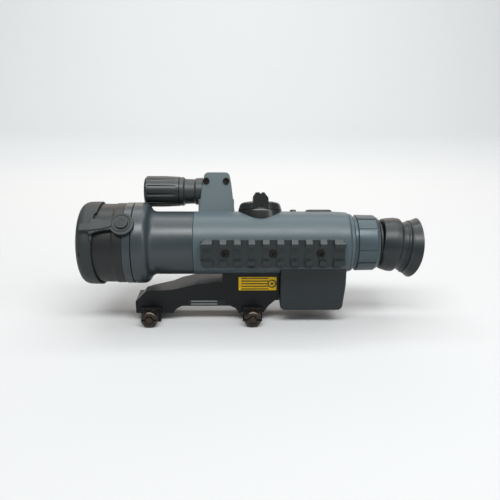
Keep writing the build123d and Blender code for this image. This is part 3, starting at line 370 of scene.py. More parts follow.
def label_material(name, colour, ink, rows, low, high):
    """Printed film: a plain field with a few plain bars and, where there are more than two rows, a round mark; no
    lettering.
    """
    material, tree, shader = new_material(name, 0.45, Specular_IOR_Level=0.25)
    coords = add_node(tree, "ShaderNodeTexCoord")
    split = add_node(tree, "ShaderNodeSeparateXYZ")
    join(tree, coords.outputs["Object"], split.inputs[0])
    across = add_node(tree, "ShaderNodeMapRange", {"From Min": low.x, "From Max": high.x}, clamp=False)
    up = add_node(tree, "ShaderNodeMapRange", {"From Min": low.z, "From Max": high.z}, clamp=False)
    join(tree, split.outputs["X"], across.inputs["Value"])
    join(tree, split.outputs["Z"], up.inputs["Value"])
    bars = add_node(tree, "ShaderNodeMath", {1: float(rows)}, operation="MULTIPLY")
    saw = add_node(tree, "ShaderNodeMath", operation="FRACT")
    centred = add_node(tree, "ShaderNodeMath", {1: 0.5}, operation="SUBTRACT")
    size = add_node(tree, "ShaderNodeMath", operation="ABSOLUTE")
    bar = add_node(tree, "ShaderNodeMapRange", {"From Min": 0.27, "From Max": 0.23})
    join(tree, up.outputs["Result"], bars.inputs[0])
    join(tree, bars.outputs[0], saw.inputs[0])
    join(tree, saw.outputs[0], centred.inputs[0])
    join(tree, centred.outputs[0], size.inputs[0])
    join(tree, size.outputs[0], bar.inputs["Value"])
    inside = add_node(tree, "ShaderNodeMath", {1: 0.43, 2: 0.36}, operation="COMPARE")
    join(tree, across.outputs["Result"], inside.inputs[0])
    bars_only = add_node(tree, "ShaderNodeMath", operation="MULTIPLY")
    join(tree, bar.outputs["Result"], bars_only.inputs[0])
    join(tree, inside.outputs[0], bars_only.inputs[1])
    mark_place = add_node(tree, "ShaderNodeVectorMath", {
        1: (low.x + 0.88 * (high.x - low.x), 0.0, (low.z + high.z) / 2)}, operation="SUBTRACT")
    flat = add_node(tree, "ShaderNodeCombineXYZ")
    reach = add_node(tree, "ShaderNodeVectorMath", operation="LENGTH")
    ring = add_node(tree, "ShaderNodeMath", {
        1: 0.27 * (high.z - low.z), 2: 0.05 * (high.z - low.z)}, operation="COMPARE")
    dot = add_node(tree, "ShaderNodeMath", {1: 0.11 * (high.z - low.z)}, operation="LESS_THAN")
    mark = add_node(tree, "ShaderNodeMath", operation="MAXIMUM")
    shown = add_node(tree, "ShaderNodeMath", {1: 1.0 if rows > 2 else 0.0}, operation="MULTIPLY")
    printed = add_node(tree, "ShaderNodeMath", operation="MAXIMUM")
    join(tree, split.outputs["X"], flat.inputs["X"])
    join(tree, split.outputs["Z"], flat.inputs["Z"])
    join(tree, flat.outputs["Vector"], mark_place.inputs[0])
    join(tree, mark_place.outputs["Vector"], reach.inputs[0])
    join(tree, reach.outputs["Value"], ring.inputs[0])
    join(tree, reach.outputs["Value"], dot.inputs[0])
    join(tree, ring.outputs[0], mark.inputs[0])
    join(tree, dot.outputs[0], mark.inputs[1])
    join(tree, mark.outputs[0], shown.inputs[0])
    join(tree, bars_only.outputs[0], printed.inputs[0])
    join(tree, shown.outputs[0], printed.inputs[1])
    faded = add_node(tree, "ShaderNodeTexNoise", {"Scale": 1500.0, "Detail": 2.0})
    patchy = add_node(tree, "ShaderNodeMapRange", {"From Min": 0.3, "From Max": 0.6, "To Min": 0.7, "To Max": 1.0})
    amount = add_node(tree, "ShaderNodeMath", operation="MULTIPLY")
    join(tree, coords.outputs["Object"], faded.inputs["Vector"])
    join(tree, faded.outputs["Fac"], patchy.inputs["Value"])
    join(tree, printed.outputs[0], amount.inputs[0])
    join(tree, patchy.outputs["Result"], amount.inputs[1])
    field = mix_colour(tree, amount.outputs[0], colour + (1.0,), ink + (1.0,))
    join(tree, field, shader.inputs["Base Color"])
    return material


# ------------------------------------------------------------------ mesh helpers
def new_piece(name, points, faces, material, slot):
    """Object from points in millimetres, with consistent outward faces and smooth shading."""
    mesh = bpy.data.meshes.new(name)
    mesh.from_pydata([Vector(p) * MM for p in points], [], faces)
    shell = bmesh.new()
    shell.from_mesh(mesh)
    bmesh.ops.remove_doubles(shell, verts=shell.verts, dist=1e-7)
    bmesh.ops.recalc_face_normals(shell, faces=shell.faces)
    shell.to_mesh(mesh)
    shell.free()
    mesh.polygons.foreach_set("use_smooth", [True] * len(mesh.polygons))
    mesh.materials.append(material)
    piece = bpy.data.objects.new(name, mesh)
    bpy.context.scene.collection.objects.link(piece)
    return piece


def lathe(profile, angles, place, closed):
    """Points and faces of a turned shell; an open profile starts and ends on the axis."""
    points = [place(step, angle) for step in profile for angle in angles]
    rows, around = len(profile), len(angles)
    faces = []
    for i in range(rows if closed else rows - 1):
        j = (i + 1) % rows
        for k in range(around):
            n = (k + 1) % around
            faces.append((i * around + k, i * around + n, j * around + n, j * around + k))
    return points, faces


def turn_steps(count):
    return [2 * math.pi * k / count for k in range(count)]


def rounded(profile, radius, steps=4):
    """Profile with each corner rounded by a short curve; the two ends stay."""
    result = [profile[0]]
    for before, corner, after in zip(profile, profile[1:], profile[2:]):
        before, corner, after = Vector(before), Vector(corner), Vector(after)
        back, ahead = before - corner, after - corner
        reach = min(radius, back.length * 0.45, ahead.length * 0.45)
        start, end = corner + back.normalized() * reach, corner + ahead.normalized() * reach
        for k in range(steps + 1):
            t = k / steps
            result.append(tuple(start * (1 - t) ** 2 + corner * 2 * t * (1 - t) + end * t * t))
    result.append(profile[-1])
    return result


def rounded_loop(profile, radius, steps=4):
    """Closed profile with every corner rounded."""
    middle = tuple((Vector(profile[0]) + Vector(profile[-1])) / 2)
    return rounded([middle, *profile, middle], radius, steps)[:-1]


def gather(parts):
    """Points and faces of several shells in one list."""
    points, faces = [], []
    for some_points, some_faces in parts:
        base = len(points)
        points.extend(some_points)
        faces.extend(tuple(base + i for i in face) for face in some_faces)
    return points, faces


def strap_point(x, across, reach):
    """Point in the strap's own frame: along the sight, across the strap, out from the axis."""
    side = CAP_HINGE_AXIS
    return (x, side.y * across + STRAP_SPOKE.y * reach, AXIS_Z / MM + side.z * across + STRAP_SPOKE.z * reach)


def slab(outline, low, high):
    """Flat moulding of the strap's plane between two distances from the axis."""
    count = len(outline)
    points = [strap_point(x, t, low) for x, t in outline] + [strap_point(x, t, high) for x, t in outline]
    faces = [tuple(range(count)), tuple(range(count, 2 * count))]
    faces += [(k, (k + 1) % count, count + (k + 1) % count, count + k) for k in range(count)]
    return points, faces


def fuse(piece, voxel, passes):
    """Turns overlapping shells into one soft moulding with filleted joins."""
    remesh = piece.modifiers.new("Fuse", "REMESH")
    remesh.mode = "VOXEL"
    remesh.voxel_size = voxel * MM
    remesh.use_smooth_shade = True
    soften = piece.modifiers.new("Soften", "SMOOTH")
    soften.factor = 0.5
    soften.iterations = passes
    graph = bpy.context.evaluated_depsgraph_get()
    moulded = bpy.data.meshes.new_from_object(piece.evaluated_get(graph))
    material = piece.data.materials[0]
    piece.modifiers.clear()
    piece.data = moulded
    if not moulded.materials:
        moulded.materials.append(material)
    moulded.polygons.foreach_set("use_smooth", [True] * len(moulded.polygons))


def coat(material, *names):
    """Gives CAD nodes a material in place of the plain one they came with."""
    for name in names:
        node = NODES[name]
        if not node.material_slots:
            node.data.materials.append(material)
        for place in node.material_slots:
            place.material = material


def colour_of(values):
    return tuple(values)


def rubber_material(name, colour, roughness, grain, bump):
    return finish_material(
        name, colour, roughness, wear=0.10, edge_radius=0.0004, grain=grain, bump=bump,
        grain_depth=0.00006, tone=0.10, rough_spread=0.14, scuffs=0.35, cloud=70.0,
        bare=tuple(min(1.0, 1.7 * c + 0.02) for c in colour), Specular_IOR_Level=0.42)


def shared_rubber(context):
    name = "Cap Rubber"
    found = bpy.data.materials.get(name)
    if found:
        return found
    return rubber_material(name, colour_of(context.scene.sight_rubber.cap), 0.55, 1900.0, 0.16)


# ------------------------------------------------------------------ operators
class SIGHT_OT_housing(bpy.types.Operator):
    """Satin paint on the cast and turned housings, the diopter ring and the battery door, darkened as painted shade
    over the electronics box and on the battery door
    """
    bl_idname = "sight.housing"
    bl_label = "Paint Housings"

    def execute(self, context):
        paint = context.scene.sight_paint
        # The satin housing paint carries painted shade: it is darkened over the electronics box.
        satin_and_box_shade = finish_material(
            "Housing Satin Paint With Painted Box Shade", colour_of(paint.housing), 0.40, wear=paint.wear, grain=1500.0,
            bump=0.30, grain_depth=0.00006, tone=0.17, painted_box_shade_from=BOX_SHADE_FROM, Specular_IOR_Level=0.4)
        smooth = finish_material(
            "Front Tube Paint", colour_of(paint.front), 0.35, wear=0.7 * paint.wear, grain=1700.0,
            bump=0.16, tone=0.13, Coat_Weight=0.12, Coat_Roughness=0.28)
        # Painted shade: the battery door and its hinge lugs get the housing colour darkened to 0.4 to match the shaded
        # box.
        dark = finish_material(
            "Box Paint Darkened As Painted Shade", tuple(0.4 * c for c in paint.housing), 0.48, wear=paint.wear, grain=3200.0, bump=0.2)
        ring = finish_material(
            "Knurled Ring Anodise", tuple(0.9 * c for c in paint.housing), 0.40, wear=1.2 * paint.wear,
            edge_radius=0.0002, grain=3600.0, bump=0.12, metallic=0.35)
        coat(satin_and_box_shade, "main_housing", "eyepiece_collar")
        coat(smooth, "front_housing", "focus_ring")
        coat(dark, "battery_door", "door_hinge_lugs")
        coat(ring, "diopter_ring")
        return {"FINISHED"}


class SIGHT_OT_rail(bpy.types.Operator):
    """Matt anodised accessory rail with worn tooth edges, and its screws"""
    bl_idname = "sight.rail"
    bl_label = "Finish Accessory Rail"

    def execute(self, context):
        paint = context.scene.sight_paint
        anodise = finish_material(
            "Rail Anodise", colour_of(paint.rail), 0.35, wear=1.5 * paint.wear, edge_radius=0.0003,
            grain=2200.0, bump=0.10, metallic=0.2, bare=(0.12, 0.13, 0.135))
        screw = finish_material(
            "Black Oxide Screws", (0.016, 0.013, 0.011), 0.34, wear=0.6, edge_radius=0.0002, grain=3000.0,
            bump=0.06, metallic=0.8, bare=(0.16, 0.11, 0.07))
        coat(anodise, "side_rail")
        coat(screw, "rail_screws", "illuminator_screws", "bracket_screws", "door_hinge_pin")
        return {"FINISHED"}


class SIGHT_OT_bracket(bpy.types.Operator):
    """Black anodised bracket and jaws, and the oiled steel of the clamp bolts and nuts"""
    bl_idname = "sight.bracket"
    bl_label = "Finish Clamp Bracket"

    def execute(self, context):
        paint = context.scene.sight_paint
        anodise = finish_material(
            "Bracket Anodise", colour_of(paint.bracket), 0.38, wear=1.2 * paint.wear, edge_radius=0.0003,
            grain=2400.0, bump=0.12, metallic=0.1, bare=(0.05, 0.05, 0.048), Specular_IOR_Level=0.25)
        steel = finish_material(
            "Oiled Gunmetal", colour_of(paint.nut), 0.30, wear=1.6 * paint.wear, edge_radius=0.00025,
            grain=1500.0, bump=0.10, tone=0.30, cloud=180.0, metallic=0.75, bare=(0.55, 0.50, 0.44))
        coat(anodise, "mount_bracket", "front_clamp_jaw", "rear_clamp_jaw")
        coat(steel, "front_clamp_nut", "rear_clamp_nut", "clamp_bolts")
        return {"FINISHED"}


class SIGHT_OT_lamp(bpy.types.Operator):
    """Black moulded illuminator, its focusing head and its painted ear plate"""
    bl_idname = "sight.lamp"
    bl_label = "Finish Illuminator"

    def execute(self, context):
        plate = finish_material(
            "Ear Plate Paint", (0.070, 0.096, 0.104), 0.46, wear=0.3, edge_radius=0.0003, grain=1500.0,
            bump=0.35, grain_depth=0.00006)
        head = finish_material(
            "Illuminator Grip", (0.010, 0.0125, 0.0135), 0.40, wear=0.15, edge_radius=0.0004, grain=2200.0,
            bump=0.16, Coat_Weight=0.15, Coat_Roughness=0.3)
        body = finish_material(
            "Illuminator Body", (0.017, 0.0215, 0.023), 0.42, wear=0.2, grain=2600.0, bump=0.14)
        coat(plate, "illuminator_arm")
        coat(head, "illuminator_head")
        coat(body, "illuminator_body")
        coat(glass_material("Illuminator Lens Glass", (0.30, 0.08, 0.08), (1.0, 0.75, 0.70)), "illuminator_lens")
        coat(finish_material("Emitter", (0.5, 0.42, 0.30), 0.3, metallic=0.8, wear=0.2), "illuminator_emitter")
        return {"FINISHED"}


class SIGHT_OT_controls(bpy.types.Operator):
    """Glossy mode switch, status lamp and the two adjustment dials"""
    bl_idname = "sight.controls"
    bl_label = "Finish Controls"

    def execute(self, context):
        gloss = finish_material(
            "Switch Plastic", (0.004, 0.0045, 0.005), 0.27, wear=0.2, edge_radius=0.0006, grain=1800.0,
            bump=0.05, tone=0.2, Coat_Weight=0.25, Coat_Roughness=0.2)
        dial = finish_material(
            "Dial Anodise", (0.010, 0.011, 0.012), 0.36, wear=0.6, edge_radius=0.0002, grain=2600.0,
            bump=0.10, metallic=0.4, bare=(0.30, 0.30, 0.30))
        lamp = finish_material(
            "Status Lamp Lens", (0.040, 0.016, 0.012), 0.18, wear=0.0, grain=900.0, bump=0.03,
            Transmission_Weight=0.15, Coat_Weight=0.5, Coat_Roughness=0.05)
        coat(gloss, "mode_switch")
        coat(dial, "windage_dial", "elevation_dial")
        coat(lamp, "status_lamp")
        return {"FINISHED"}


class SIGHT_OT_switch_boot(bpy.types.Operator):
    """Black plinth that seals the mode switch to the tube"""
    bl_idname = "sight.switch_boot"
    bl_label = "Mould Switch Plinth"

    def execute(self, context):
        out = SWITCH_AXIS
        side = Vector((1, 0, 0)).cross(out)
        middle = Vector((SWITCH_PIVOT.x, 0, AXIS_Z)) / MM
        wall = rounded_loop([(15.0, 15.73), (15.0, 16.5), (22.6, 16.2), (23.55, 15.95), (23.55, 15.73)], 0.3)

        def place(step, angle):
            reach, r = step
            return tuple(middle + Vector((r * math.cos(angle), 0, 0)) + side * r * math.sin(angle) + out * reach)

        points, faces = lathe(wall, turn_steps(96), place, True)
        material = finish_material(
            "Plinth Plastic", (0.005, 0.0055, 0.006), 0.32, wear=0.1, grain=2000.0, bump=0.08,
            Coat_Weight=0.2, Coat_Roughness=0.25)
        plinth = new_piece("switch_plinth", points, faces, material, "black_plastic")
        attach(plinth, "housing")
        return {"FINISHED"}


class SIGHT_OT_optics(bpy.types.Operator):
    """Lenses, their cells and retainers, the intensifier, the board and the battery"""
    bl_idname = "sight.optics"
    bl_label = "Finish Optics and Insides"

    def execute(self, context):
        black = finish_material(
            "Cell Anodise", (0.014, 0.014, 0.015), 0.45, wear=0.3, edge_radius=0.0002, grain=3000.0,
            bump=0.12, metallic=0.3, bare=(0.12, 0.12, 0.12))
        case = finish_material("Intensifier Shell", (0.035, 0.036, 0.038), 0.55, grain=1800.0, bump=0.15)
        board = finish_material(
            "Circuit Board", (0.012, 0.105, 0.035), 0.35, grain=900.0, bump=0.12, tone=0.3, Coat_Weight=0.4)
        wrap = finish_material(
            "Battery Wrap", (0.10, 0.12, 0.15), 0.25, wear=0.05, grain=600.0, bump=0.04, Coat_Weight=0.5)
        brass = finish_material("Plated Brass", (0.62, 0.42, 0.16), 0.28, metallic=1.0, grain=1800.0, bump=0.08)
        seal = finish_material("Seal Rubber", (0.020, 0.020, 0.021), 0.60, grain=1500.0, bump=0.15)
        screen = finish_material("Phosphor Screen", (0.16, 0.32, 0.12), 0.5, wear=0.0, grain=4000.0, bump=0.05)
        coat(black, "lens_cell", "lens_retaining_ring", "lens_spacer", "rear_lens_retainer", "ocular_cell",
             "eye_lens_retainer", "intensifier_clamp_ring", "reticle_frame")
        coat(case, "intensifier_tube")
        coat(board, "circuit_board")
        coat(wrap, "battery")
        coat(brass, "battery_contacts")
        coat(seal, "housing_seal")
        coat(screen, "phosphor_screen")
        coat(glass_material("Objective Glass", (0.93, 0.97, 0.95), (0.55, 0.85, 0.65)),
             "objective_front_lens", "objective_middle_lens", "objective_rear_lens", "photocathode_window",
             "relay_lens", "reticle_plate")
        coat(glass_material("Eyepiece Glass", (0.95, 0.95, 0.98), (0.60, 0.50, 0.95)),
             "field_lens", "ocular_middle_lens", "eye_lens")
        return {"FINISHED"}


class SIGHT_OT_labels(bpy.types.Operator):
    """Plain printed films on the bracket and the box, with bars in place of lettering"""
    bl_idname = "sight.labels"
    bl_label = "Print Labels"

    def execute(self, context):
        yellow = colour_of(context.scene.sight_paint.label)
        low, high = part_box("warning_label")
        coat(label_material("Yellow Label Film", yellow, (0.035, 0.030, 0.020), 5, low, high), "warning_label")
        low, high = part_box("maker_label")
        coat(label_material("Dark Label Film", (0.012, 0.014, 0.015), (0.17, 0.18, 0.185), 2, low, high),
             "maker_label")
        return {"FINISHED"}


class SIGHT_OT_cap(bpy.types.Operator):
    """Rubber objective cap: domed front, saddle-shaped skirt and the root of its strap"""
    bl_idname = "sight.cap"
    bl_label = "Mould Cap"

    def execute(self, context):
        front = CAP_LOW.x / MM
        edge_middle = CAP_HIGH.x / MM
        outer, bore = 30.4, 29.2
        saddle = 3.2
        notch = CAP_HINGE.x / MM - 0.2

        def edge_at(angle):
            """Rear edge of the skirt: further back at the top and bottom, held off the strap."""
            reach = edge_middle - saddle * math.cos(angle) ** 2
            spoke = math.atan2(STRAP_SPOKE.z, STRAP_SPOKE.y)
            away = abs((angle - spoke + math.pi) % (2 * math.pi) - math.pi) * outer
            hold = min(1.0, max(0.0, (away - 9.0) / 6.0))
            return min(reach, notch + hold * 6.0)

        def place(step, angle):
            share, x, r = step
            reach = x + share * (edge_at(angle) - x)
            return (reach, r * math.cos(angle), AXIS_Z / MM + r * math.sin(angle))

        profile = [(0, front, 0.01), (0, front, 12.0), (0, front, 22.0), (0, front + 0.4, 25.4), (0, front + 1.6, 27.8),
                   (0, front + 3.4, 29.4), (0, front + 6, outer - 0.2)]
        profile += [(0.5, front + 6, outer - 0.05), (1, 0, outer), (1, 0, bore), (0.5, front + 6, bore),
                    (0, front + 3.2, bore), (0, front + 3.2, 12.0), (0, front + 3.2, 0.01)]
        shell = lathe(profile, turn_steps(context.scene.sight_rubber.segments), place, False)
        root_edge = CAP_HINGE.x / MM - 0.2
        root = slab([(-82.6, -1.2), (-82.2, -0.8), (-76.8, -0.2), (-75.6, 3.2), (-74.9, 4.3), (-74.2, 4.2),
                     (root_edge, 3.2), (root_edge, -8.4), (-75.0, -8.2), (-76.6, -6.3), (-82.2, -6.1),
                     (-82.6, -5.8)], 28.6, 32.0)
        fillet = slab([(root_edge, -5.0), (root_edge, -12.6), (-74.9, -12.2), (-75.4, -9.4), (-77.0, -6.6),
                       (-78.0, -5.0)], 26.5, 29.7)
        rib = slab([(-82.6, -1.2), (-82.0, -0.7), (root_edge, 0.3), (root_edge, -5.7), (-82.0, -6.1),
                    (-82.6, -5.6)], 29.0, 32.9)
        points, faces = gather([shell, root, fillet, rib])
        cap = new_piece("objective_cap_moulding", points, faces, shared_rubber(context), "rubber_cap")
        fuse(cap, 0.36, 5)
        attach(cap, "cap")
        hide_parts("objective_cap")
        return {"FINISHED"}


class SIGHT_OT_strap(bpy.types.Operator):
    """Rubber strap from the cap to its eyelet on the barrel's peg"""
    bl_idname = "sight.strap"
    bl_label = "Mould Strap"

    def execute(self, context):
        peg_low, peg_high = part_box("cap_peg")
        eye = (peg_low.x + peg_high.x) / 2 / MM
        inside, outside, raised = 30.0, 32.0, 32.9
        tab = 8.4
        start = CAP_HINGE.x / MM - 1.6
        rim = [(eye + tab * math.cos(a), -0.4 + tab * math.sin(a))
               for a in [math.radians(-148 + 296 * k / 40) for k in range(41)]]
        web = slab([(start, -8.4), (-72.6, -7.4), (-71.0, -6.5), (-66.0, -5.2), (-62.2, -4.9)] + rim
                   + [(-62.2, 3.6), (-64.0, 3.2), (start, 3.4)], inside, outside)
        rib_end = [(-61.9 + 1.6 * math.cos(a), -0.5 + 2.9 * math.sin(a))
                   for a in [math.radians(-80 + 20 * k) for k in range(9)]]
        rib = slab([(start, -5.9), (-68.0, -4.8), (-63.0, -3.6)] + rib_end + [(-63.0, 2.6), (start, 0.1)],
                   inside + 0.6, raised)
        around = turn_steps(72)

        def ring_place(step, angle):
            reach, r = step
            return strap_point(eye + r * math.cos(angle), r * math.sin(angle), reach)

        bead = lathe([(outside - 0.5, 5.9), (outside + 0.25, 6.1), (outside + 0.45, 6.5), (outside + 0.25, 6.9),
                      (outside - 0.5, 7.1)], around, ring_place, True)
        points, faces = gather([web, rib, bead])
        strap = new_piece("cap_strap_moulding", points, faces, shared_rubber(context), "rubber_cap")
        fuse(strap, 0.26, 4)
        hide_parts("cap_strap")
        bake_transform(strap)
        coat(shared_rubber(context), "cap_peg")
        head = max((v.co - Vector((v.co.x, 0, AXIS_Z))).dot(STRAP_SPOKE) for v in NODES["cap_peg"].data.vertices) / MM
        rings = [lathe([(head - 0.2, r - 0.35), (head + 0.18, r - 0.15), (head + 0.18, r + 0.15), (head - 0.2, r + 0.35)],
                       around, ring_place, True) for r in (1.2, 2.6)]
        peg_rings = new_piece("cap_peg_rings", *gather(rings), shared_rubber(context), "rubber_cap")
        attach(peg_rings, "barrel")
        return {"FINISHED"}


class SIGHT_OT_sleeve(bpy.types.Operator):
    """Rubber sleeve on the focusing barrel, with a raised band at its rear"""
    bl_idname = "sight.sleeve"
    bl_label = "Mould Barrel Sleeve"

    def execute(self, context):
        front, rear = SLEEVE_LOW.x / MM, SLEEVE_HIGH.x / MM
        outer = (SLEEVE_HIGH.z - AXIS_Z) / MM
        inner, step, band = 27.6, 0.5, 6.5
        profile = rounded_loop(
            [(front, inner), (front, outer - step), (rear - band - 0.6, outer - step), (rear - band, outer),
             (rear, outer), (rear, inner)], 0.35)

        def place(step_point, angle):
            x, r = step_point
            return (x, r * math.cos(angle), AXIS_Z / MM + r * math.sin(angle))

        points, faces = lathe(profile, turn_steps(context.scene.sight_rubber.segments), place, True)
        material = rubber_material("Sleeve Rubber", (0.0065, 0.0075, 0.008), 0.45, 2100.0, 0.12)
        sleeve = new_piece("barrel_sleeve_moulding", points, faces, material, "rubber_cap")
        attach(sleeve, "barrel")
        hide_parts("barrel_sleeve")
        return {"FINISHED"}


class SIGHT_OT_eyecup(bpy.types.Operator):
    """Folding rubber eyecup: a bellows waist and a flared rim that droops behind its neck"""
    bl_idname = "sight.eyecup"
    bl_label = "Mould Eyecup"

    def execute(self, context):
        rubber = context.scene.sight_rubber
        start = CUP_LOW.x / MM
        lean = rubber.cup_lean
        wall = rubber.cup_wall / MM
        rim, rim_r, saddle, neck = 25.8, 22.3, 2.4, 16.25
        outer = [(0.2, 18.0), (3.5, 19.0), (8.5, 20.0), (12.2, 19.9), (13.2, 19.2), (13.9, 17.7), (17.2, 17.6),
                 (17.7, 18.3), (18.2, 18.4), (18.6, 17.9), (19.4, 18.2), (19.9, 19.6), (20.5, 19.8), (21.0, 19.5),
                 (22.6, 20.4), (rim - 0.6, rim_r - 0.3), (rim, rim_r)]
        inner = [(rim - 0.1, rim_r - wall), (22.5, 19.0), (19.0, 16.1), (12.8, 14.8), (12.6, neck), (0.2, neck)]
        profile = rounded_loop(outer + inner, 0.45, 3)

        def place(step, angle):
            s, r = step
            across = r * math.cos(angle)
            up = r * math.sin(angle)
            if r <= neck + 0.01 and s < 13:
                return (start + s, across, AXIS_Z / MM + up)
            share = min(1.0, max(0.0, (s - 13.9) / (rim - 13.9)))
            s += saddle * share * share * math.cos(angle) ** 2
            along = start + s * math.cos(lean) + up * math.sin(lean)
            return (max(along, start + 0.02 * s), across, AXIS_Z / MM - s * math.sin(lean) + up * math.cos(lean))

        points, faces = lathe(profile, turn_steps(rubber.segments), place, True)
        material = rubber_material("Eyecup Rubber", colour_of(rubber.eyecup), 0.38, 1500.0, 0.14)
        cup = new_piece("eyecup_moulding", points, faces, material, "rubber_black")
        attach(cup, "ocular")
        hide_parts("eyecup")
        return {"FINISHED"}


class SIGHT_OT_rocker(bpy.types.Operator):
    """Soft brightness rocker: a dished oblong pad with a raised dot at each end"""
    bl_idname = "sight.rocker"
    bl_label = "Mould Rocker Pad"

    def execute(self, context):
        out = (ROCKER_PIVOT - Vector((ROCKER_PIVOT.x, 0, AXIS_Z))).normalized()
        middle = Vector((ROCKER_PIVOT.x, 0, AXIS_Z)) / MM
        length, width, floor, top = 20.0, 9.0, 21.25, 24.4

        def spot(x, y, reach):
            return tuple(middle + Vector((x, 0, 0)) + ROCKER_ACROSS * y + out * reach)

        around = turn_steps(96)

        def pad_place(step, angle):
            inset, height = step
            r = width / 2 - inset
            straight = (length - width) / 2
            x = r * math.cos(angle) + math.copysign(straight, math.cos(angle))
            dip = 0.45 * math.exp(-((x / 3.6) ** 2)) if inset > 1.2 else 0.0
            return spot(x, r * math.sin(angle), height - dip)

        steps = [(0.0, floor), (0.0, top - 1.5)]
        steps += [(1.5 - 1.5 * math.cos(a), top - 1.5 + 1.5 * math.sin(a))
                  for a in [math.radians(15 * k) for k in range(1, 7)]]
        steps += [(2.4, top), (3.4, top), (4.45, top)]
        pad, faces = lathe(steps, around, pad_place, False)
        count = len(around)
        faces += [tuple(range(count)), tuple(range(len(pad) - count, len(pad)))]

        def dot_at(x):
            def place(step, angle):
                r, height = step
                return spot(x + r * math.cos(angle), r * math.sin(angle), height)
            return lathe([(0.01, top + 0.1), (0.7, top + 0.05), (1.0, top - 0.2), (1.0, top - 0.6),
                          (0.01, top - 0.6)], turn_steps(24), place, False)

        points, faces = gather([(pad, faces), dot_at(-6.2), dot_at(6.2)])
        material = rubber_material("Rocker Rubber", (0.014, 0.014, 0.014), 0.45, 1800.0, 0.12)
        rocker = new_piece("brightness_rocker_pad", points, faces, material, "rubber_black")
        fuse(rocker, 0.2, 3)
        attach(rocker, "brightness_rocker")
        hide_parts("brightness_rocker")
        return {"FINISHED"}


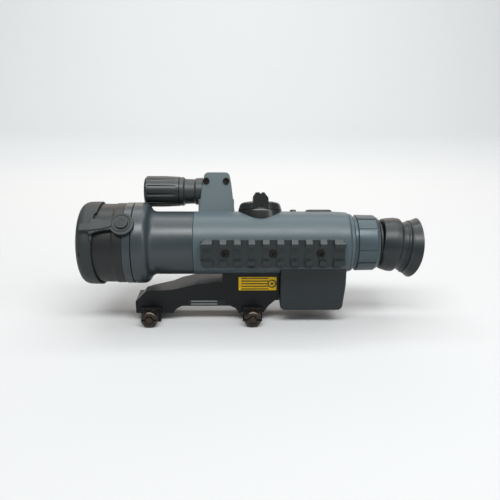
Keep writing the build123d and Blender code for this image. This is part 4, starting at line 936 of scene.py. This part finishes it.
class SIGHT_OT_stage(bpy.types.Operator):
    """Pale studio floor with a curved back, soft lights, world and camera"""
    bl_idname = "sight.stage"
    bl_label = "Set Stage"

    def execute(self, context):
        scene = context.scene
        ground = CAD_BOX[0].z
        half, near, bend_start, bend_r, height = 4.0, -6.0, 1.2, 0.8, 3.0
        line = [(near, ground)]
        line += [(bend_start + bend_r * math.sin(a), ground + bend_r * (1 - math.cos(a)))
                 for a in [math.radians(7.5 * k) for k in range(13)]]
        line.append((bend_start + bend_r, ground + height))
        mesh = bpy.data.meshes.new("studio_floor")
        points = [(side, y, z) for y, z in line for side in (-half, half)]
        faces = [(2 * k, 2 * k + 1, 2 * k + 3, 2 * k + 2) for k in range(len(line) - 1)]
        mesh.from_pydata(points, [], faces)
        mesh.polygons.foreach_set("use_smooth", [True] * len(faces))
        mesh.materials.append(self.floor_material())
        floor = bpy.data.objects.new("studio_floor", mesh)
        scene.collection.objects.link(floor)
        white, warm = (0.985, 1.0, 1.0), (1.0, 0.70, 0.48)
        above_sight = (0.03, 0.0, 0.05)
        self.light(scene, "key_soft", (0.05, -0.56, 0.98), above_sight, (1.3, 0.30), 15.0, white)
        self.light(scene, "overhead_soft", (0.05, 0.10, 1.10), above_sight, (1.3, 0.55), 4.5, white)
        self.light(scene, "backdrop_wash", (0.0, 0.7, 1.5), (0.0, 1.9, 0.5), (2.6, 0.8), 44.0, white)
        self.light(scene, "warm_rim", (0.0, 0.62, 0.40), above_sight, (1.0, 0.12), 0.8, warm)
        self.light(scene, "right_strip", (0.85, -0.50, 0.60), (-0.04, 0.0, 0.05), (0.20, 0.7), 2.6, white)
        world = bpy.data.worlds.new("Studio")
        world.use_nodes = True
        sky = world.node_tree.nodes["Background"]
        sky.inputs["Color"].default_value = (0.93, 0.93, 0.92, 1)
        sky.inputs["Strength"].default_value = 0.30
        scene.world = world
        scene.view_settings.view_transform = "Standard"
        self.camera(scene)
        return {"FINISHED"}

    def floor_material(self):
        material, tree, shader = new_material("Pale Floor", 0.85, Specular_IOR_Level=0.1)
        coords = add_node(tree, "ShaderNodeTexCoord")
        cloud = add_node(tree, "ShaderNodeTexNoise", {"Scale": 1.2, "Detail": 2.0})
        join(tree, coords.outputs["Object"], cloud.inputs["Vector"])
        tone = mix_colour(tree, cloud.outputs["Fac"], (0.485, 0.490, 0.497, 1.0), (0.500, 0.505, 0.512, 1.0))
        join(tree, tone, shader.inputs["Base Color"])
        return material

    def light(self, scene, name, place, target, size, power, colour):
        lamp = bpy.data.lights.new(name, "AREA")
        lamp.shape = "RECTANGLE"
        lamp.size, lamp.size_y = size
        lamp.energy = power
        lamp.color = colour
        holder = bpy.data.objects.new(name, lamp)
        holder.location = place
        holder.rotation_euler = (Vector(target) - Vector(place)).to_track_quat("-Z", "Y").to_euler()
        scene.collection.objects.link(holder)

    def camera(self, scene):
        eye = Vector((0.027, -0.4112, 0.1770))
        foot = Vector((0.027, 0, AXIS_Z))
        sight_line = (foot - eye).normalized()
        side = Vector((1, 0, 0))
        lift = side.cross(sight_line)
        aim = (sight_line * 578 + side * 12 - lift * 7.4).normalized()
        level = aim.cross(Vector((0, 0, 1))).normalized()
        upright = level.cross(aim)
        roll = math.radians(0.33)
        tilted = level * math.cos(roll) + upright * math.sin(roll)
        lens = bpy.data.cameras.new("camera")
        lens.lens = 41.6
        lens.sensor_width = 36
        holder = bpy.data.objects.new("camera", lens)
        frame_axes = Matrix((tilted, tilted.cross(aim), -aim)).transposed().to_4x4()
        frame_axes.translation = eye
        holder.matrix_world = frame_axes
        scene.collection.objects.link(holder)
        scene.camera = holder


class SIGHT_PT_panel(bpy.types.Panel):
    """Lists the sight's pieces and settings"""
    bl_idname = "SIGHT_PT_panel"
    bl_label = "Night Vision Sight"
    bl_space_type = "VIEW_3D"
    bl_region_type = "UI"
    bl_category = "Sight"

    def draw(self, context):
        for settings in (context.scene.sight_paint, context.scene.sight_rubber):
            box = self.layout.box()
            for key in settings.__annotations__:
                box.prop(settings, key)
        for step in STEPS:
            self.layout.operator(step.bl_idname)


STEPS = (
    SIGHT_OT_stage, SIGHT_OT_housing, SIGHT_OT_rail, SIGHT_OT_bracket, SIGHT_OT_lamp, SIGHT_OT_controls, SIGHT_OT_switch_boot,
    SIGHT_OT_optics, SIGHT_OT_labels, SIGHT_OT_cap, SIGHT_OT_strap, SIGHT_OT_sleeve, SIGHT_OT_eyecup,
    SIGHT_OT_rocker)
CLASSES = (SightPaint, SightRubber, *STEPS, SIGHT_PT_panel)


def register():
    for entry in CLASSES:
        bpy.utils.register_class(entry)
    bpy.types.Scene.sight_paint = PointerProperty(type=SightPaint)
    bpy.types.Scene.sight_rubber = PointerProperty(type=SightRubber)


def unregister():
    del bpy.types.Scene.sight_rubber
    del bpy.types.Scene.sight_paint
    for entry in reversed(CLASSES):
        bpy.utils.unregister_class(entry)


def main():
    register()
    for step in STEPS:
        group, action = step.bl_idname.split(".")
        getattr(getattr(bpy.ops, group), action)()


if __name__ == "__main__":
    main()
